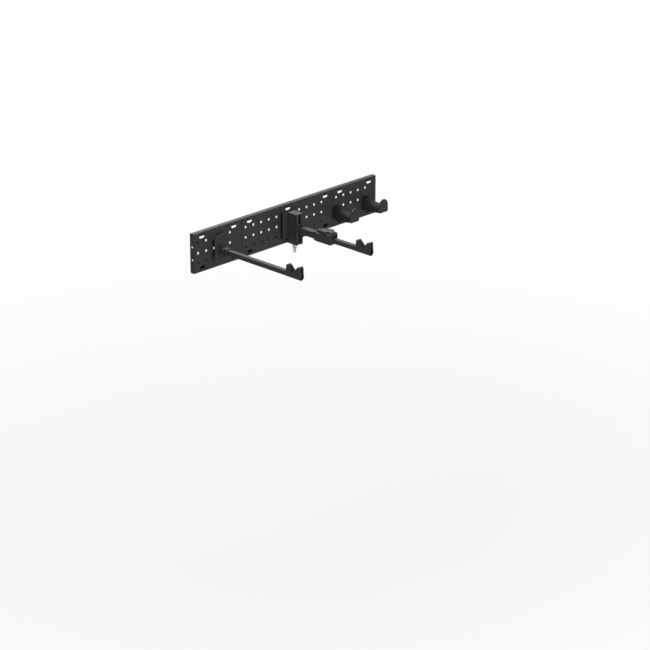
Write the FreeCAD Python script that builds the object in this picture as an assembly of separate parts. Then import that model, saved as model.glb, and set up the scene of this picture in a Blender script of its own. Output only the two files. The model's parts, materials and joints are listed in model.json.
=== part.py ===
import FreeCAD, Part
import os
from math import acos, cos, pi, radians, sin, sqrt, tan

Vector = FreeCAD.Vector

# A wall mount for one bicycle: three perforated steel panels in a row on the wall, a fixed arm
# on the left, an arm on the right that is set for height by a spindle and for reach by a sliding
# bar, a tilting V cradle at the end of each arm, and two drum hooks for a helmet and clothing.
#
# Millimetres. X runs right along the wall, Z is up, and the wall is the plane Y = 0, with the
# mount on its negative side. The origin is the middle of the panel row, on the wall.

# Panels
PITCH = 38.0               # between perforations, both ways
PERFORATION = 8.2          # side of a square perforation
ROWS = 3
SHORT_PANEL_COLUMNS = 6    # pitches in an outer panel
LONG_PANEL_COLUMNS = 12    # pitches in the middle panel
PANEL_HEIGHT = 146.0
PANEL_DEPTH = 22.0
SHEET = 2.0
BEND = 4.0                 # outside radius of a folded edge
TOP_LIP = 24.0             # height of the folded lips that lie on the wall
BOTTOM_LIP = 34.0
SLOT_LENGTH = 24.0         # access slots in front of the wall screw holes
SLOT_HEIGHT = 13.5
SLOT_FROM_EDGE = 16.0
WALL_HOLE = 6.5
LINK_HOLE = 7.0            # holes in the end flanges, for the bolts that link the panels
LINK_SPREAD = 47.0
LINK_BOLT = 6.0
LINK_HEAD = 10.5
LINK_HEAD_HEIGHT = 4.0
LINK_NUT = 10.0            # across flats
LINK_NUT_HEIGHT = 5.0
PLUG_WALL = 1.2            # blanking plug in one perforation
PLUG_DEPTH = 6.0
PLUG_RIM = 1.2
PLUG_RIM_THICKNESS = 0.8

# Base plates of the two arms
LEFT_ARM_COLUMN = -9       # in pitches from the middle of the row
RIGHT_ARM_COLUMN = 0
BASE_HEIGHT = 96.0
LEFT_BASE_WIDTH = 56.0
GUIDE_BASE_WIDTH = 78.0
BASE_THICKNESS = 3.5
BASE_STANDOFF = 9.0        # from the panel to the back of the plate
BASE_CORNER = 6.0
LUG_BLOCK = 14.0           # side of the riveted lugs that hook into the perforations
LUG_RIVET = 6.0
LUG_PLAY = 0.3             # to each side of the perforation, and behind the sheet
LUG_FINGER = 4.0
LUG_DROP = 6.0

# Arms and cradles, with reaches measured from the panel's front face
ARM_HEIGHT = -8.5          # of the bar's axis, from the middle of the panel
BAR = 18.0                 # square tube
BAR_WALL = 1.5
BAR_CORNER = 2.5
ARM_REACH = 340.0          # to the shoulder that the cradle turns against
CRADLE_WIDTH = 24.0        # across its round underside
CRADLE_TOP_WIDTH = 18.0    # across the tops of its prongs
CRADLE_LENGTH = 67.0
CRADLE_DROP = 12.0         # underside below the bar's axis
CRADLE_ROUND = 11.2        # radius of the underside, seen from the front
BACK_PRONG_TOP = 34.0      # above the bar's axis
FRONT_PRONG_TOP = 36.5
PRONG_LEAN = 2.5           # of the back prong's back face
VEE_DEPTH = 8.5            # height of the cradle's V above the bar's axis
VEE_FROM_SHOULDER = 33.7
BACK_SLOPE = 46.5          # degrees from level
FRONT_SLOPE = 48.0
VEE_RADIUS = 7.0
PAD_THICKNESS = 3.0
PAD_WIDTH = 15.0
PAD_MARGIN = 2.0           # from the prong tops
JOURNAL = 14.0             # round end of the bar that the cradle turns on
JOURNAL_PLAY = 0.05
CRADLE_GAP = 0.3           # between turning cradle and fixed shoulder
BAR_PLUG_LENGTH = 24.0
SHOULDER = 3.0
CRADLE_SCREW_HEAD = 14.0
CRADLE_SCREW_DOME = 6.0
CRADLE_SCREW = 8.0
CRADLE_SCREW_DEPTH = 22.0
CRADLE_WASHER = 16.5
WASHER_THICKNESS = 1.6
SCREW_RECESS = 18.0
SCREW_RECESS_DEPTH = 12.0
FRONT_POCKET_WALL = 4.0
FRONT_POCKET_WIDTH = 10.0
FRONT_POCKET_DEPTH = 7.0

# Left arm
SOCKET_WALL = 4.0
SOCKET_LENGTH = 40.0
SOCKET_PLAY = 0.1
SOCKET_SCREW = 6.0
SOCKET_SCREW_HEAD = 10.0
SOCKET_SCREW_HEAD_HEIGHT = 3.3
SOCKET_SCREW_SPACING = 17.0

# Right arm: guide rail, spindle and carriage
RAIL_WIDTH = 32.0
RAIL_DEPTH = 46.5
RAIL_WALL = 3.0
RAIL_SLOT = 8.0
RAIL_CAP = 3.0             # plate that closes its top
RAIL_TOP = 49.0
RAIL_BOTTOM = -66.0
RAIL_GROOVE = 3.0          # shallow groove down each side
RAIL_GROOVE_DEPTH = 1.8
RAIL_GROOVE_FROM_FRONT = 4.0
CROSS_HOLE = 9.5
CROSS_HOLE_REACH = 43.0
CROSS_HOLE_HEIGHT = -23.0
CROSS_HOLE_DEPTH = 10.0    # from the rail's sides
RAIL_SCREW = 5.0
RAIL_SCREW_HEAD = 9.0
RAIL_SCREW_NUT = 8.0
RAIL_SCREW_NUT_HEIGHT = 4.0
RAIL_SCREW_INSET = 14.0    # from the ends of the base plate
SPINDLE = 12.0
SPINDLE_FROM_RAIL_BACK = 20.5
SPINDLE_TOP = 40.0
SPINDLE_TAIL = 35.0        # below the rail
SPINDLE_HEX = 10.0
SPINDLE_HEX_LENGTH = 10.0
SPINDLE_PLAY = 0.08
COLLAR = 17.4
COLLAR_HEIGHT = 17.0
RETAINER_HEIGHT = 3.0
BEARING_HEIGHT = 8.0
BEARING_PLAY = 0.1
BEARING_SCREW = 4.0
BEARING_SCREW_HEAD = 7.0
BEARING_SCREW_DEPTH = 5.0
RUNNING_GAP = 0.3
CARRIAGE_WIDTH = 24.0
CARRIAGE_HEIGHT = 35.0
LINER_PLAY = 0.1
CARRIAGE_BACK_GAP = 1.5
WEB_GAP = 0.4

# Right arm: outer tube, lock housing, lever and sliding bar
TUBE = 25.0
TUBE_WALL = 2.0
TUBE_CORNER = 3.5
SPIGOT_LENGTH = 28.0
SPIGOT_PLAY = 0.1
TUBE_SCREW = 5.0
TUBE_SCREW_HEAD = 8.5
TUBE_SCREW_HEAD_HEIGHT = 2.8
TUBE_SCREW_DEPTH = 7.0
TUBE_SCREW_SPACING = 13.0
HOUSING_START = 140.0
HOUSING_END = 231.0
HOUSING_WIDTH = 44.0
HOUSING_NECK = 27.0        # width at its wall end
HOUSING_FLARE = 26.0       # length over which it widens
HOUSING_SIDE_RADIUS = 20.0 # where the flare runs into the straight sides
HOUSING_NOSE = 13.0        # corner radius of its outer end in plan
HOUSING_CHIN = 6.0         # radius under the outer end
HOUSING_KEEL = 5.0         # radius along its lower edges
HOUSING_FLOOR = 15.0       # underside below the bar's axis
HOUSING_ROOF = 17.5        # top above the bar's axis
TUBE_SEAT = 0.05
FRONT_BUSH_LENGTH = 24.0
FRONT_BUSH_WALL = 2.0
SLIDE_PLAY = 0.05
HOUSING_SCREW = 3.0
HOUSING_SCREW_HEAD = 5.5
HOUSING_SCREW_HEAD_HEIGHT = 3.0
HOUSING_SCREW_ENGAGE = 9.0
HOUSING_SCREW_BELOW_ROOF = 2.6
PIN = 6.0
PIN_FROM_END = 12.0
PIN_ABOVE_AXIS = 18.7
PIN_PLAY = 0.05
PIN_INSET = 0.5            # of the pin's ends from the housing's sides
CAM_RADIUS = 9.0
CAM_OFFSET = 0.5
CAM_WIDTH = 24.0
CAM_GAP = 0.3
EAR_RISE = 5.0             # top of the ears above the pin
EAR_BACK = 10.0            # back of the ears behind the pin
EAR_CORNER = 5.0           # radius at the top of their backs
EAR_BROW = 6.0             # radius at the top of their fronts
LEVER_LENGTH = 70.0        # from the pin to the free end
LEVER_TIP_WIDTH = 18.0
LEVER_WIDTH = 42.0         # behind the ears
LEVER_SHOULDER = 11.6      # from the pin back to where the lever widens
LEVER_PARALLEL = 14.0      # length at full width
LEVER_SIDE_RADIUS = 10.0
LEVER_TIP_THICKNESS = 6.2
LEVER_ROOT_RISE = 12.0     # top of the lever above the pin
LEVER_LEVEL = 24.0         # length of its level top behind the pin
LEVER_KNEE = 40.0          # radius where the level top runs into the slope
LEVER_GAP = 0.5
LEVER_CROWN = 12.0         # radius over the pin
BAR_START = 130.0          # inner end of the sliding bar
REAR_BUSH_LENGTH = 12.0

# Drum hooks
HOOK_COLUMNS = (6.5, 10.5) # in pitches from the middle of the row
DRUM_WIDTH = 40.0          # at the panel and at the end plate
DRUM_WAIST = 36.0          # where it is slimmest
DRUM_LENGTH = 89.0
DRUM_ROOT = 14.0           # length of its level root
DRUM_WAIST_REACH = 64.0
DRUM_BOTTOM = -42.0
DRUM_TOP = 7.5
WAIST_BOTTOM = -39.5
WAIST_TOP = -5.5
DRUM_END_BOTTOM = -33.0
DRUM_END_TOP = 4.5
DRUM_CORNER = 4.0
DRUM_WALL = 3.0
DRUM_BACK = 4.0
END_PLATE_WIDTH = 46.0
END_PLATE_HEIGHT = 50.5
END_PLATE_BOTTOM = -35.5
END_PLATE_CORNER = 5.0
END_PLATE_THICKNESS = 5.0
END_PLATE_RIM = 6.0
END_PLATE_PLAY = 0.1
HOOK_SCREW = 5.0
HOOK_SCREW_HEAD = 9.0
HOOK_SCREW_HEAD_HEIGHT = 3.2
HOOK_SCREW_LENGTH = 20.0
HOOK_BOSS = 11.0
HOOK_SCREW_SPACING = 16.0

# Clearance of a screw or rivet in a hole that it fills, and play of a loose bolt
FILLED = 0.05

# Worked out from the sizes above
SHORT_LENGTH = SHORT_PANEL_COLUMNS * PITCH
LONG_LENGTH = LONG_PANEL_COLUMNS * PITCH
ROW_LENGTH = LONG_LENGTH + 2 * SHORT_LENGTH
SLOT_HEIGHTS = (PANEL_HEIGHT / 2 - SLOT_FROM_EDGE, SLOT_FROM_EDGE - PANEL_HEIGHT / 2)
LINK_HEIGHTS = (LINK_SPREAD / 2, -LINK_SPREAD / 2)
PERFORATION_ROWS = [(row - (ROWS - 1) / 2) * PITCH for row in range(ROWS)]
LEFT_ARM_X = LEFT_ARM_COLUMN * PITCH
RIGHT_ARM_X = RIGHT_ARM_COLUMN * PITCH
HOOK_PLACES = [column * PITCH for column in HOOK_COLUMNS]
LUG_HEIGHTS = (PITCH, -PITCH)
BASE_FACE = BASE_STANDOFF + BASE_THICKNESS
RAIL_FACE = BASE_FACE + RAIL_DEPTH
SPINDLE_REACH = BASE_FACE + SPINDLE_FROM_RAIL_BACK
PIN_REACH = HOUSING_END - PIN_FROM_END
PIN_HEIGHT = ARM_HEIGHT + PIN_ABOVE_AXIS
CRADLE_BACK = ARM_REACH + CRADLE_GAP
CRADLE_FRONT = CRADLE_BACK + CRADLE_LENGTH
FRONT_BUSH_START = HOUSING_END - FRONT_BUSH_LENGTH


# Helpers

def rounded_wire(corners, place):
    """A closed outline through corners (u, v, radius), put into space by place(u, v)."""
    legs = []
    for number, (u, v, radius) in enumerate(corners):
        here = Vector(u, v, 0)
        back = (Vector(*corners[number - 1][:2], 0) - here).normalize()
        ahead = (Vector(*corners[(number + 1) % len(corners)][:2], 0) - here).normalize()
        half = acos(max(-1.0, min(1.0, back.dot(ahead)))) / 2
        if radius > 0:
            middle = (back + ahead).normalize()
            reach = radius / tan(half)
            crown = here + middle * (radius / sin(half) - radius)
            legs.append((here + back * reach, crown, here + ahead * reach))
        else:
            legs.append((here, None, here))
    edges = []
    for number, (start, crown, end) in enumerate(legs):
        previous = legs[number - 1][2]
        if (start - previous).Length > 1e-6:
            edges.append(Part.LineSegment(place(previous), place(start)).toShape())
        if crown is not None:
            edges.append(Part.Arc(place(start), place(crown), place(end)).toShape())
    return Part.Wire(edges)


def out(reach):
    """The Y of a plane that lies a reach in front of the panels' faces."""
    return -(PANEL_DEPTH + reach)


def front_solid(corners, near, far):
    """An outline in (x, z), carried outwards from one reach to another."""
    wire = rounded_wire(corners, lambda point: Vector(point.x, out(near), point.y))
    return Part.Face(wire).extrude(Vector(0, near - far, 0))


def side_solid(corners, left, right):
    """An outline in (reach, z), carried along X."""
    wire = rounded_wire(corners, lambda point: Vector(left, out(point.x), point.y))
    return Part.Face(wire).extrude(Vector(right - left, 0, 0))


def plan_solid(corners, bottom, top):
    """An outline in (x, reach), carried upwards."""
    wire = rounded_wire(corners, lambda point: Vector(point.x, out(point.y), bottom))
    return Part.Face(wire).extrude(Vector(0, 0, top - bottom))


def rectangle(width, height, x=0.0, z=0.0, radius=0.0):
    """The corners of a rectangle about a centre."""
    right, up = width / 2, height / 2
    signs = ((-1, -1), (1, -1), (1, 1), (-1, 1))
    return [(x + right * across, z + up * along, radius) for across, along in signs]


def arch(width, height, x, bottom, corner):
    """The corners of an arch: flat below, with two quarter rounds that make its top a half round."""
    half = width / 2
    round_top = half - 0.01
    return [(x - half, bottom, corner), (x + half, bottom, corner),
            (x + half, bottom + height, round_top), (x - half, bottom + height, round_top)]


def rod_out(diameter, x, z, near, far):
    """A round rod that points away from the wall."""
    return Part.makeCylinder(diameter / 2, far - near, Vector(x, out(near), z), Vector(0, -1, 0))


def rod_across(diameter, left, right, reach, z):
    """A round rod along X."""
    return Part.makeCylinder(diameter / 2, right - left, Vector(left, out(reach), z), Vector(1, 0, 0))


def rod_up(diameter, x, reach, bottom, top):
    """A round rod along Z."""
    return Part.makeCylinder(diameter / 2, top - bottom, Vector(x, out(reach), bottom))


def hexagon(flats, turn=0.0):
    """The corners of a hexagon, by its width across flats."""
    corner = flats / sqrt(3)
    angles = [turn + number * pi / 3 for number in range(6)]
    return [(corner * cos(angle), corner * sin(angle), 0.0) for angle in angles]


def group(solids):
    """Separate solids that share one node."""
    return Part.makeCompound(solids)


def square_tube(side, wall, corner, x, near, far):
    """A square tube along the arm's axis."""
    outside = front_solid(rectangle(side, side, x, ARM_HEIGHT, corner), near, far)
    bore = side - 2 * wall
    inside = front_solid(rectangle(bore, bore, x, ARM_HEIGHT, corner - wall), near, far)
    return outside.cut(inside)


NODES = {}


# Panels

def panel(left, columns, slot_columns, hook_places):
    """One panel: a tray folded from sheet with a lip above and below, closed by a flange at each end."""
    right = left + columns * PITCH
    half = PANEL_HEIGHT / 2
    inner = half - SHEET
    lip_face = SHEET - PANEL_DEPTH
    small = BEND - SHEET
    flange = [(-PANEL_DEPTH, -half, BEND), (0, -half, BEND), (0, half, BEND), (-PANEL_DEPTH, half, BEND)]
    inside = [(-PANEL_DEPTH, half - TOP_LIP, 0), (lip_face, half - TOP_LIP, 0), (lip_face, inner, small),
              (-SHEET, inner, small), (-SHEET, -inner, small), (lip_face, -inner, small),
              (lip_face, BOTTOM_LIP - half, 0), (-PANEL_DEPTH, BOTTOM_LIP - half, 0)]
    tray = side_solid(flange + inside, left, right)
    ends = [side_solid(flange, left, left + SHEET), side_solid(flange, right - SHEET, right)]
    shape = tray.fuse(ends).removeSplitter()
    tools = []
    for column in range(columns - 1):
        for z in PERFORATION_ROWS:
            x = left + (column + 0.5) * PITCH
            tools.append(front_solid(rectangle(PERFORATION, PERFORATION, x, z), -1.5 * SHEET, SHEET))
    for column in slot_columns:
        for z in SLOT_HEIGHTS:
            x = left + column * PITCH
            outline = rectangle(SLOT_LENGTH, SLOT_HEIGHT, x, z, SLOT_HEIGHT / 2 - 0.01)
            tools.append(front_solid(outline, -1.5 * SHEET, SHEET))
            tools.append(rod_out(WALL_HOLE, x, z, -PANEL_DEPTH - SHEET, 1.5 * SHEET - PANEL_DEPTH))
    for z in LINK_HEIGHTS:
        tools.append(rod_across(LINK_HOLE, left - SHEET, right + SHEET, -PANEL_DEPTH / 2, z))
    for x in hook_places:
        for z in hook_screw_heights():
            tools.append(rod_out(HOOK_SCREW + 2 * FILLED, x, z, -1.5 * SHEET, SHEET))
    return shape.cut(tools)


def panel_links():
    """The bolts and nuts that hold the panels' end flanges together."""
    bolts = []
    nuts = []
    reach = -PANEL_DEPTH / 2
    for seam in (-LONG_LENGTH / 2, LONG_LENGTH / 2):
        for z in LINK_HEIGHTS:
            seat = seam - SHEET
            nut_end = seam + SHEET + LINK_NUT_HEIGHT
            head = rod_across(LINK_HEAD, seat - LINK_HEAD_HEIGHT, seat, reach, z)
            bolts.append(head.fuse(rod_across(LINK_BOLT, seat, nut_end + LINK_BOLT / 4, reach, z)))
            corners = [(reach + u, z + v, r) for u, v, r in hexagon(LINK_NUT)]
            nut = side_solid(corners, seam + SHEET, nut_end)
            bore = rod_across(LINK_BOLT + 2 * FILLED, seam, nut_end + SHEET, reach, z)
            nuts.append(nut.cut(bore))
    return group(bolts), group(nuts)


def blanking_plug():
    """A hollow plug that closes the first perforation of the top row."""
    x = (PITCH - ROW_LENGTH) / 2
    z = PERFORATION_ROWS[-1]
    side = PERFORATION - 2 * FILLED
    rim_side = PERFORATION + 2 * PLUG_RIM
    rim = front_solid(rectangle(rim_side, rim_side, x, z, PLUG_RIM), 0, PLUG_RIM_THICKNESS)
    stem = front_solid(rectangle(side, side, x, z), -PLUG_DEPTH, 0)
    hollow_side = side - 2 * PLUG_WALL
    hollow = front_solid(rectangle(hollow_side, hollow_side, x, z), PLUG_WALL - PLUG_DEPTH, PLUG_DEPTH)
    return rim.fuse(stem).cut(hollow)


# Base plates

def base_plate(x, width):
    """A flat plate that stands off the panel on its lugs."""
    plate = front_solid(rectangle(width, BASE_HEIGHT, x, 0, BASE_CORNER), BASE_STANDOFF, BASE_FACE)
    holes = []
    for lug_x in (x - PITCH / 2, x + PITCH / 2):
        for z in LUG_HEIGHTS:
            holes.append(rod_out(LUG_RIVET + 2 * FILLED, lug_x, z, 0, 2 * BASE_FACE))
    return plate.cut(holes)


def hook_lugs(x):
    """Four lugs, each riveted to a base plate and hooked behind the lower edge of a perforation."""
    lugs = []
    side = PERFORATION - 2 * LUG_PLAY
    back = -SHEET - LUG_PLAY
    for lug_x in (x - PITCH / 2, x + PITCH / 2):
        for z in LUG_HEIGHTS:
            block = front_solid(rectangle(LUG_BLOCK, LUG_BLOCK, lug_x, z), 0, BASE_STANDOFF)
            rivet = rod_out(LUG_RIVET, lug_x, z, BASE_STANDOFF, BASE_FACE)
            shank = front_solid(rectangle(side, side, lug_x, z), back, 0)
            finger_outline = rectangle(side, side + LUG_DROP, lug_x, z - LUG_DROP / 2)
            finger = front_solid(finger_outline, back - LUG_FINGER, back)
            lugs.append(block.fuse([rivet, shank, finger]))
    return group(lugs)


# Bar ends and cradles

def bar_end(x):
    """The plug in a bar's outer end, with its shoulder and the journal that the cradle turns on."""
    bore = BAR - 2 * BAR_WALL - 2 * FILLED
    plug = front_solid(rectangle(bore, bore, x, ARM_HEIGHT, BAR_CORNER - BAR_WALL),
                       ARM_REACH - SHOULDER - BAR_PLUG_LENGTH, ARM_REACH - SHOULDER)
    shoulder = front_solid(rectangle(BAR, BAR, x, ARM_HEIGHT, BAR_CORNER), ARM_REACH - SHOULDER, ARM_REACH)
    journal = rod_out(JOURNAL, x, ARM_HEIGHT, ARM_REACH, journal_end())
    thread = rod_out(CRADLE_SCREW + 2 * FILLED, x, ARM_HEIGHT,
                     journal_end() - CRADLE_SCREW_DEPTH - WASHER_THICKNESS, journal_end() + SHOULDER)
    return plug.fuse([shoulder, journal]).cut(thread)


def journal_end():
    """Reach of the journal's end, which stands just proud of the recess for the screw."""
    return CRADLE_FRONT - SCREW_RECESS_DEPTH + CRADLE_GAP


def vee_point(offset):
    """Where the V's two slopes meet when they are raised square to themselves by an offset."""
    back, front = radians(BACK_SLOPE), radians(FRONT_SLOPE)
    shift = offset * (1 / cos(back) - 1 / cos(front)) / (tan(back) + tan(front))
    rise = shift * tan(front) + offset / cos(front)
    return CRADLE_BACK + VEE_FROM_SHOULDER + shift, ARM_HEIGHT + VEE_DEPTH + rise


def on_back_slope(offset, height):
    """Reach of the raised back slope at a height."""
    reach, low = vee_point(offset)
    return reach - (height - low) / tan(radians(BACK_SLOPE))


def on_front_slope(offset, height):
    """Reach of the raised front slope at a height."""
    reach, low = vee_point(offset)
    return reach + (height - low) / tan(radians(FRONT_SLOPE))


def cradle(x):
    """A moulded head with a round underside, two tapering prongs, a V between them and a hollow front."""
    half, half_top = CRADLE_WIDTH / 2, CRADLE_TOP_WIDTH / 2
    underside = ARM_HEIGHT - CRADLE_DROP
    back_top = ARM_HEIGHT + BACK_PRONG_TOP
    front_top = ARM_HEIGHT + FRONT_PRONG_TOP
    vee_reach, vee_height = vee_point(0)
    outline = [
        (CRADLE_BACK, underside, 0),
        (CRADLE_FRONT, underside, 0),
        (CRADLE_FRONT, front_top, 3.0),
        (on_front_slope(0, front_top), front_top, 2.0),
        (vee_reach, vee_height, VEE_RADIUS),
        (on_back_slope(0, back_top), back_top, 2.0),
        (CRADLE_BACK + PRONG_LEAN, back_top, 2.5),
        (CRADLE_BACK, ARM_HEIGHT + BAR / 2, 0),
    ]
    section = [(x - half, underside, CRADLE_ROUND), (x + half, underside, CRADLE_ROUND),
               (x + half_top, front_top, 0), (x - half_top, front_top, 0)]
    head = side_solid(outline, x - half, x + half).common(front_solid(section, CRADLE_BACK, CRADLE_FRONT))
    bore = rod_out(JOURNAL + 2 * JOURNAL_PLAY, x, ARM_HEIGHT, 0, CRADLE_FRONT + SHOULDER)
    recess = rod_out(SCREW_RECESS, x, ARM_HEIGHT, CRADLE_FRONT - SCREW_RECESS_DEPTH, CRADLE_FRONT + SHOULDER)
    return head.cut([bore, recess, front_pocket(x)])


def front_pocket(x):
    """The hollow in the front prong, open to the front."""
    bottom = ARM_HEIGHT + (SCREW_RECESS + FRONT_POCKET_WALL) / 2
    top = ARM_HEIGHT + FRONT_PRONG_TOP - FRONT_POCKET_WALL
    outline = rectangle(FRONT_POCKET_WIDTH, top - bottom, x, (top + bottom) / 2, 1.5)
    return front_solid(outline, CRADLE_FRONT - FRONT_POCKET_DEPTH, CRADLE_FRONT + 1)


def cradle_pad(x):
    """The rubber lining that lies in a cradle's V."""
    back_end = ARM_HEIGHT + BACK_PRONG_TOP - 2 * PAD_MARGIN
    front_end = ARM_HEIGHT + FRONT_PRONG_TOP - 2 * PAD_MARGIN
    low = vee_point(0)
    high = vee_point(PAD_THICKNESS)
    back_rise = PAD_THICKNESS * cos(radians(BACK_SLOPE))
    front_rise = PAD_THICKNESS * cos(radians(FRONT_SLOPE))
    outline = [
        (on_back_slope(0, back_end), back_end, 0),
        (low[0], low[1], VEE_RADIUS),
        (on_front_slope(0, front_end), front_end, 0),
        (on_front_slope(PAD_THICKNESS, front_end + front_rise), front_end + front_rise, 1.0),
        (high[0], high[1], VEE_RADIUS - PAD_THICKNESS),
        (on_back_slope(PAD_THICKNESS, back_end + back_rise), back_end + back_rise, 1.0),
    ]
    half = PAD_WIDTH / 2
    return side_solid(outline, x - half, x + half)


def cradle_fixings(x):
    """The domed screw on the bar's axis and the washer that keeps the cradle on its journal."""
    seat = journal_end()
    washer = rod_out(CRADLE_WASHER, x, ARM_HEIGHT, seat, seat + WASHER_THICKNESS)
    washer = washer.cut(rod_out(CRADLE_SCREW + 2 * FILLED, x, ARM_HEIGHT, 0, 2 * seat))
    under_head = seat + WASHER_THICKNESS
    rim_top = under_head + CRADLE_SCREW_DOME / 3
    shank = rod_out(CRADLE_SCREW, x, ARM_HEIGHT, under_head - CRADLE_SCREW_DEPTH, under_head)
    rim = rod_out(CRADLE_SCREW_HEAD, x, ARM_HEIGHT, under_head, rim_top)
    crown = Part.makeCone(CRADLE_SCREW_HEAD / 2, CRADLE_SCREW_HEAD / 4, 2 * CRADLE_SCREW_DOME / 3,
                          Vector(x, out(rim_top), ARM_HEIGHT), Vector(0, -1, 0))
    screw = shank.fuse([rim, crown])
    return screw, washer


def add_cradle(side, x):
    """The nodes of one arm's outer end."""
    screw, washer = cradle_fixings(x)
    NODES[side + "_bar_end"] = bar_end(x)
    NODES[side + "_cradle"] = cradle(x)
    NODES[side + "_cradle_pad"] = cradle_pad(x)
    NODES[side + "_cradle_washer"] = washer
    NODES[side + "_cradle_screw"] = screw


# Left arm

def left_socket():
    """The square socket on the left base plate, with two screws from below that hold the bar."""
    x = LEFT_ARM_X
    side = BAR + 2 * SOCKET_PLAY + 2 * SOCKET_WALL
    end = BASE_FACE + SOCKET_LENGTH
    socket = front_solid(rectangle(side, side, x, ARM_HEIGHT, SOCKET_WALL), BASE_FACE, end)
    bore = BAR + 2 * SOCKET_PLAY
    socket = socket.cut(front_solid(rectangle(bore, bore, x, ARM_HEIGHT, BAR_CORNER), 0, 2 * end))
    underside = ARM_HEIGHT - side / 2
    bar_underside = ARM_HEIGHT - BAR / 2
    middle = BASE_FACE + SOCKET_LENGTH / 2
    screws = []
    for reach in (middle - SOCKET_SCREW_SPACING / 2, middle + SOCKET_SCREW_SPACING / 2):
        socket = socket.cut(rod_up(SOCKET_SCREW + 2 * FILLED, x, reach, underside - 1, ARM_HEIGHT))
        head = rod_up(SOCKET_SCREW_HEAD, x, reach, underside - SOCKET_SCREW_HEAD_HEIGHT, underside)
        screws.append(head.fuse(rod_up(SOCKET_SCREW, x, reach, underside, bar_underside)))
    return socket, group(screws)


# Right arm: guide, spindle and carriage

def guide_rail():
    """A channel closed at its top, with a slot down its front, a groove down each side and a cross hole."""
    half = RAIL_WIDTH / 2
    lip = RAIL_SLOT / 2
    inner = half - RAIL_WALL
    back, front = BASE_FACE, RAIL_FACE
    outline = [(-half, back, 0), (half, back, 0), (half, front, 1.5), (lip, front, 0),
               (lip, front - RAIL_WALL, 0), (inner, front - RAIL_WALL, 0), (inner, back + RAIL_WALL, 0),
               (-inner, back + RAIL_WALL, 0), (-inner, front - RAIL_WALL, 0),
               (-lip, front - RAIL_WALL, 0), (-lip, front, 0), (-half, front, 1.5)]
    outline = [(RIGHT_ARM_X + x, reach, radius) for x, reach, radius in outline]
    rail = plan_solid(outline, RAIL_BOTTOM, RAIL_TOP)
    corners = [(RIGHT_ARM_X - half, back, 0), (RIGHT_ARM_X + half, back, 0),
               (RIGHT_ARM_X + half, front, 1.5), (RIGHT_ARM_X - half, front, 1.5)]
    rail = rail.fuse(plan_solid(corners, RAIL_TOP - RAIL_CAP, RAIL_TOP))
    groove_front = front - RAIL_GROOVE_FROM_FRONT
    tools = cross_holes()
    for sign in (-1, 1):
        edge = RIGHT_ARM_X + sign * half
        floor = edge - sign * RAIL_GROOVE_DEPTH
        corners = [(edge + sign, groove_front - RAIL_GROOVE, 0), (edge + sign, groove_front, 0),
                   (floor, groove_front, 0), (floor, groove_front - RAIL_GROOVE, 0)]
        tools.append(plan_solid(corners, RAIL_BOTTOM - 1, RAIL_TOP + 1))
    for z in rail_screw_heights():
        tools.append(rail_screw_space(z))
    return rail.cut(tools + bearing_screw_pair(2 * FILLED))


def cross_holes():
    """The blind holes through the rail's sides into the carriage, which face each other at rest."""
    outside = RAIL_WIDTH / 2 + 1
    floor = RAIL_WIDTH / 2 - CROSS_HOLE_DEPTH
    x = RIGHT_ARM_X
    return [rod_across(CROSS_HOLE, x + first, x + second, CROSS_HOLE_REACH, CROSS_HOLE_HEIGHT)
            for first, second in ((-outside, -floor), (floor, outside))]


def rail_screw_heights():
    return BASE_HEIGHT / 2 - RAIL_SCREW_INSET, RAIL_SCREW_INSET - BASE_HEIGHT / 2


def countersunk(head, shank, z, seat, depth, end):
    """A countersunk screw along Y: its flat head lies at the seat and its tip at the end."""
    base = Vector(RIGHT_ARM_X, out(seat), z)
    cone = Part.makeCone(head / 2, shank / 2, depth, base, Vector(0, 1, 0))
    return cone.fuse(rod_out(shank, RIGHT_ARM_X, z, end, seat - depth))


def rail_screw_space(z):
    seat = BASE_FACE + RAIL_WALL
    return countersunk(RAIL_SCREW_HEAD + 2 * FILLED, RAIL_SCREW + 2 * FILLED, z, seat,
                       (RAIL_SCREW_HEAD - RAIL_SCREW) / 2, 0)


def rail_fixings():
    """The countersunk screws and nuts that hold the rail on its base plate."""
    screws = []
    nuts = []
    seat = BASE_FACE + RAIL_WALL
    nut_back = BASE_STANDOFF - RAIL_SCREW_NUT_HEIGHT
    for z in rail_screw_heights():
        screws.append(countersunk(RAIL_SCREW_HEAD, RAIL_SCREW, z, seat, (RAIL_SCREW_HEAD - RAIL_SCREW) / 2,
                                  nut_back - 1))
        corners = [(RIGHT_ARM_X + u, z + v, r) for u, v, r in hexagon(RAIL_SCREW_NUT)]
        nut = front_solid(corners, nut_back, BASE_STANDOFF)
        nuts.append(nut.cut(rod_out(RAIL_SCREW + 2 * FILLED, RIGHT_ARM_X, z, 0, BASE_FACE)))
    return group(screws), group(nuts)


def rail_inside(clearance):
    """Left, right, back and front of the rail's hollow, drawn in by a clearance."""
    half = RAIL_WIDTH / 2 - RAIL_WALL - clearance
    return (RIGHT_ARM_X - half, RIGHT_ARM_X + half,
            BASE_FACE + RAIL_WALL + clearance, RAIL_FACE - RAIL_WALL - clearance)


def spindle_bearing():
    """The block that closes the rail's lower end and carries the spindle."""
    left, right, back, front = rail_inside(FILLED)
    corners = [(left, back, 0), (right, back, 0), (right, front, 0), (left, front, 0)]
    block = plan_solid(corners, RAIL_BOTTOM, RAIL_BOTTOM + BEARING_HEIGHT)
    bore = rod_up(SPINDLE + 2 * SPINDLE_PLAY, RIGHT_ARM_X, SPINDLE_REACH, RAIL_BOTTOM - 1, RAIL_TOP)
    return block.cut([bore] + bearing_screw_pair(2 * FILLED))


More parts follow.
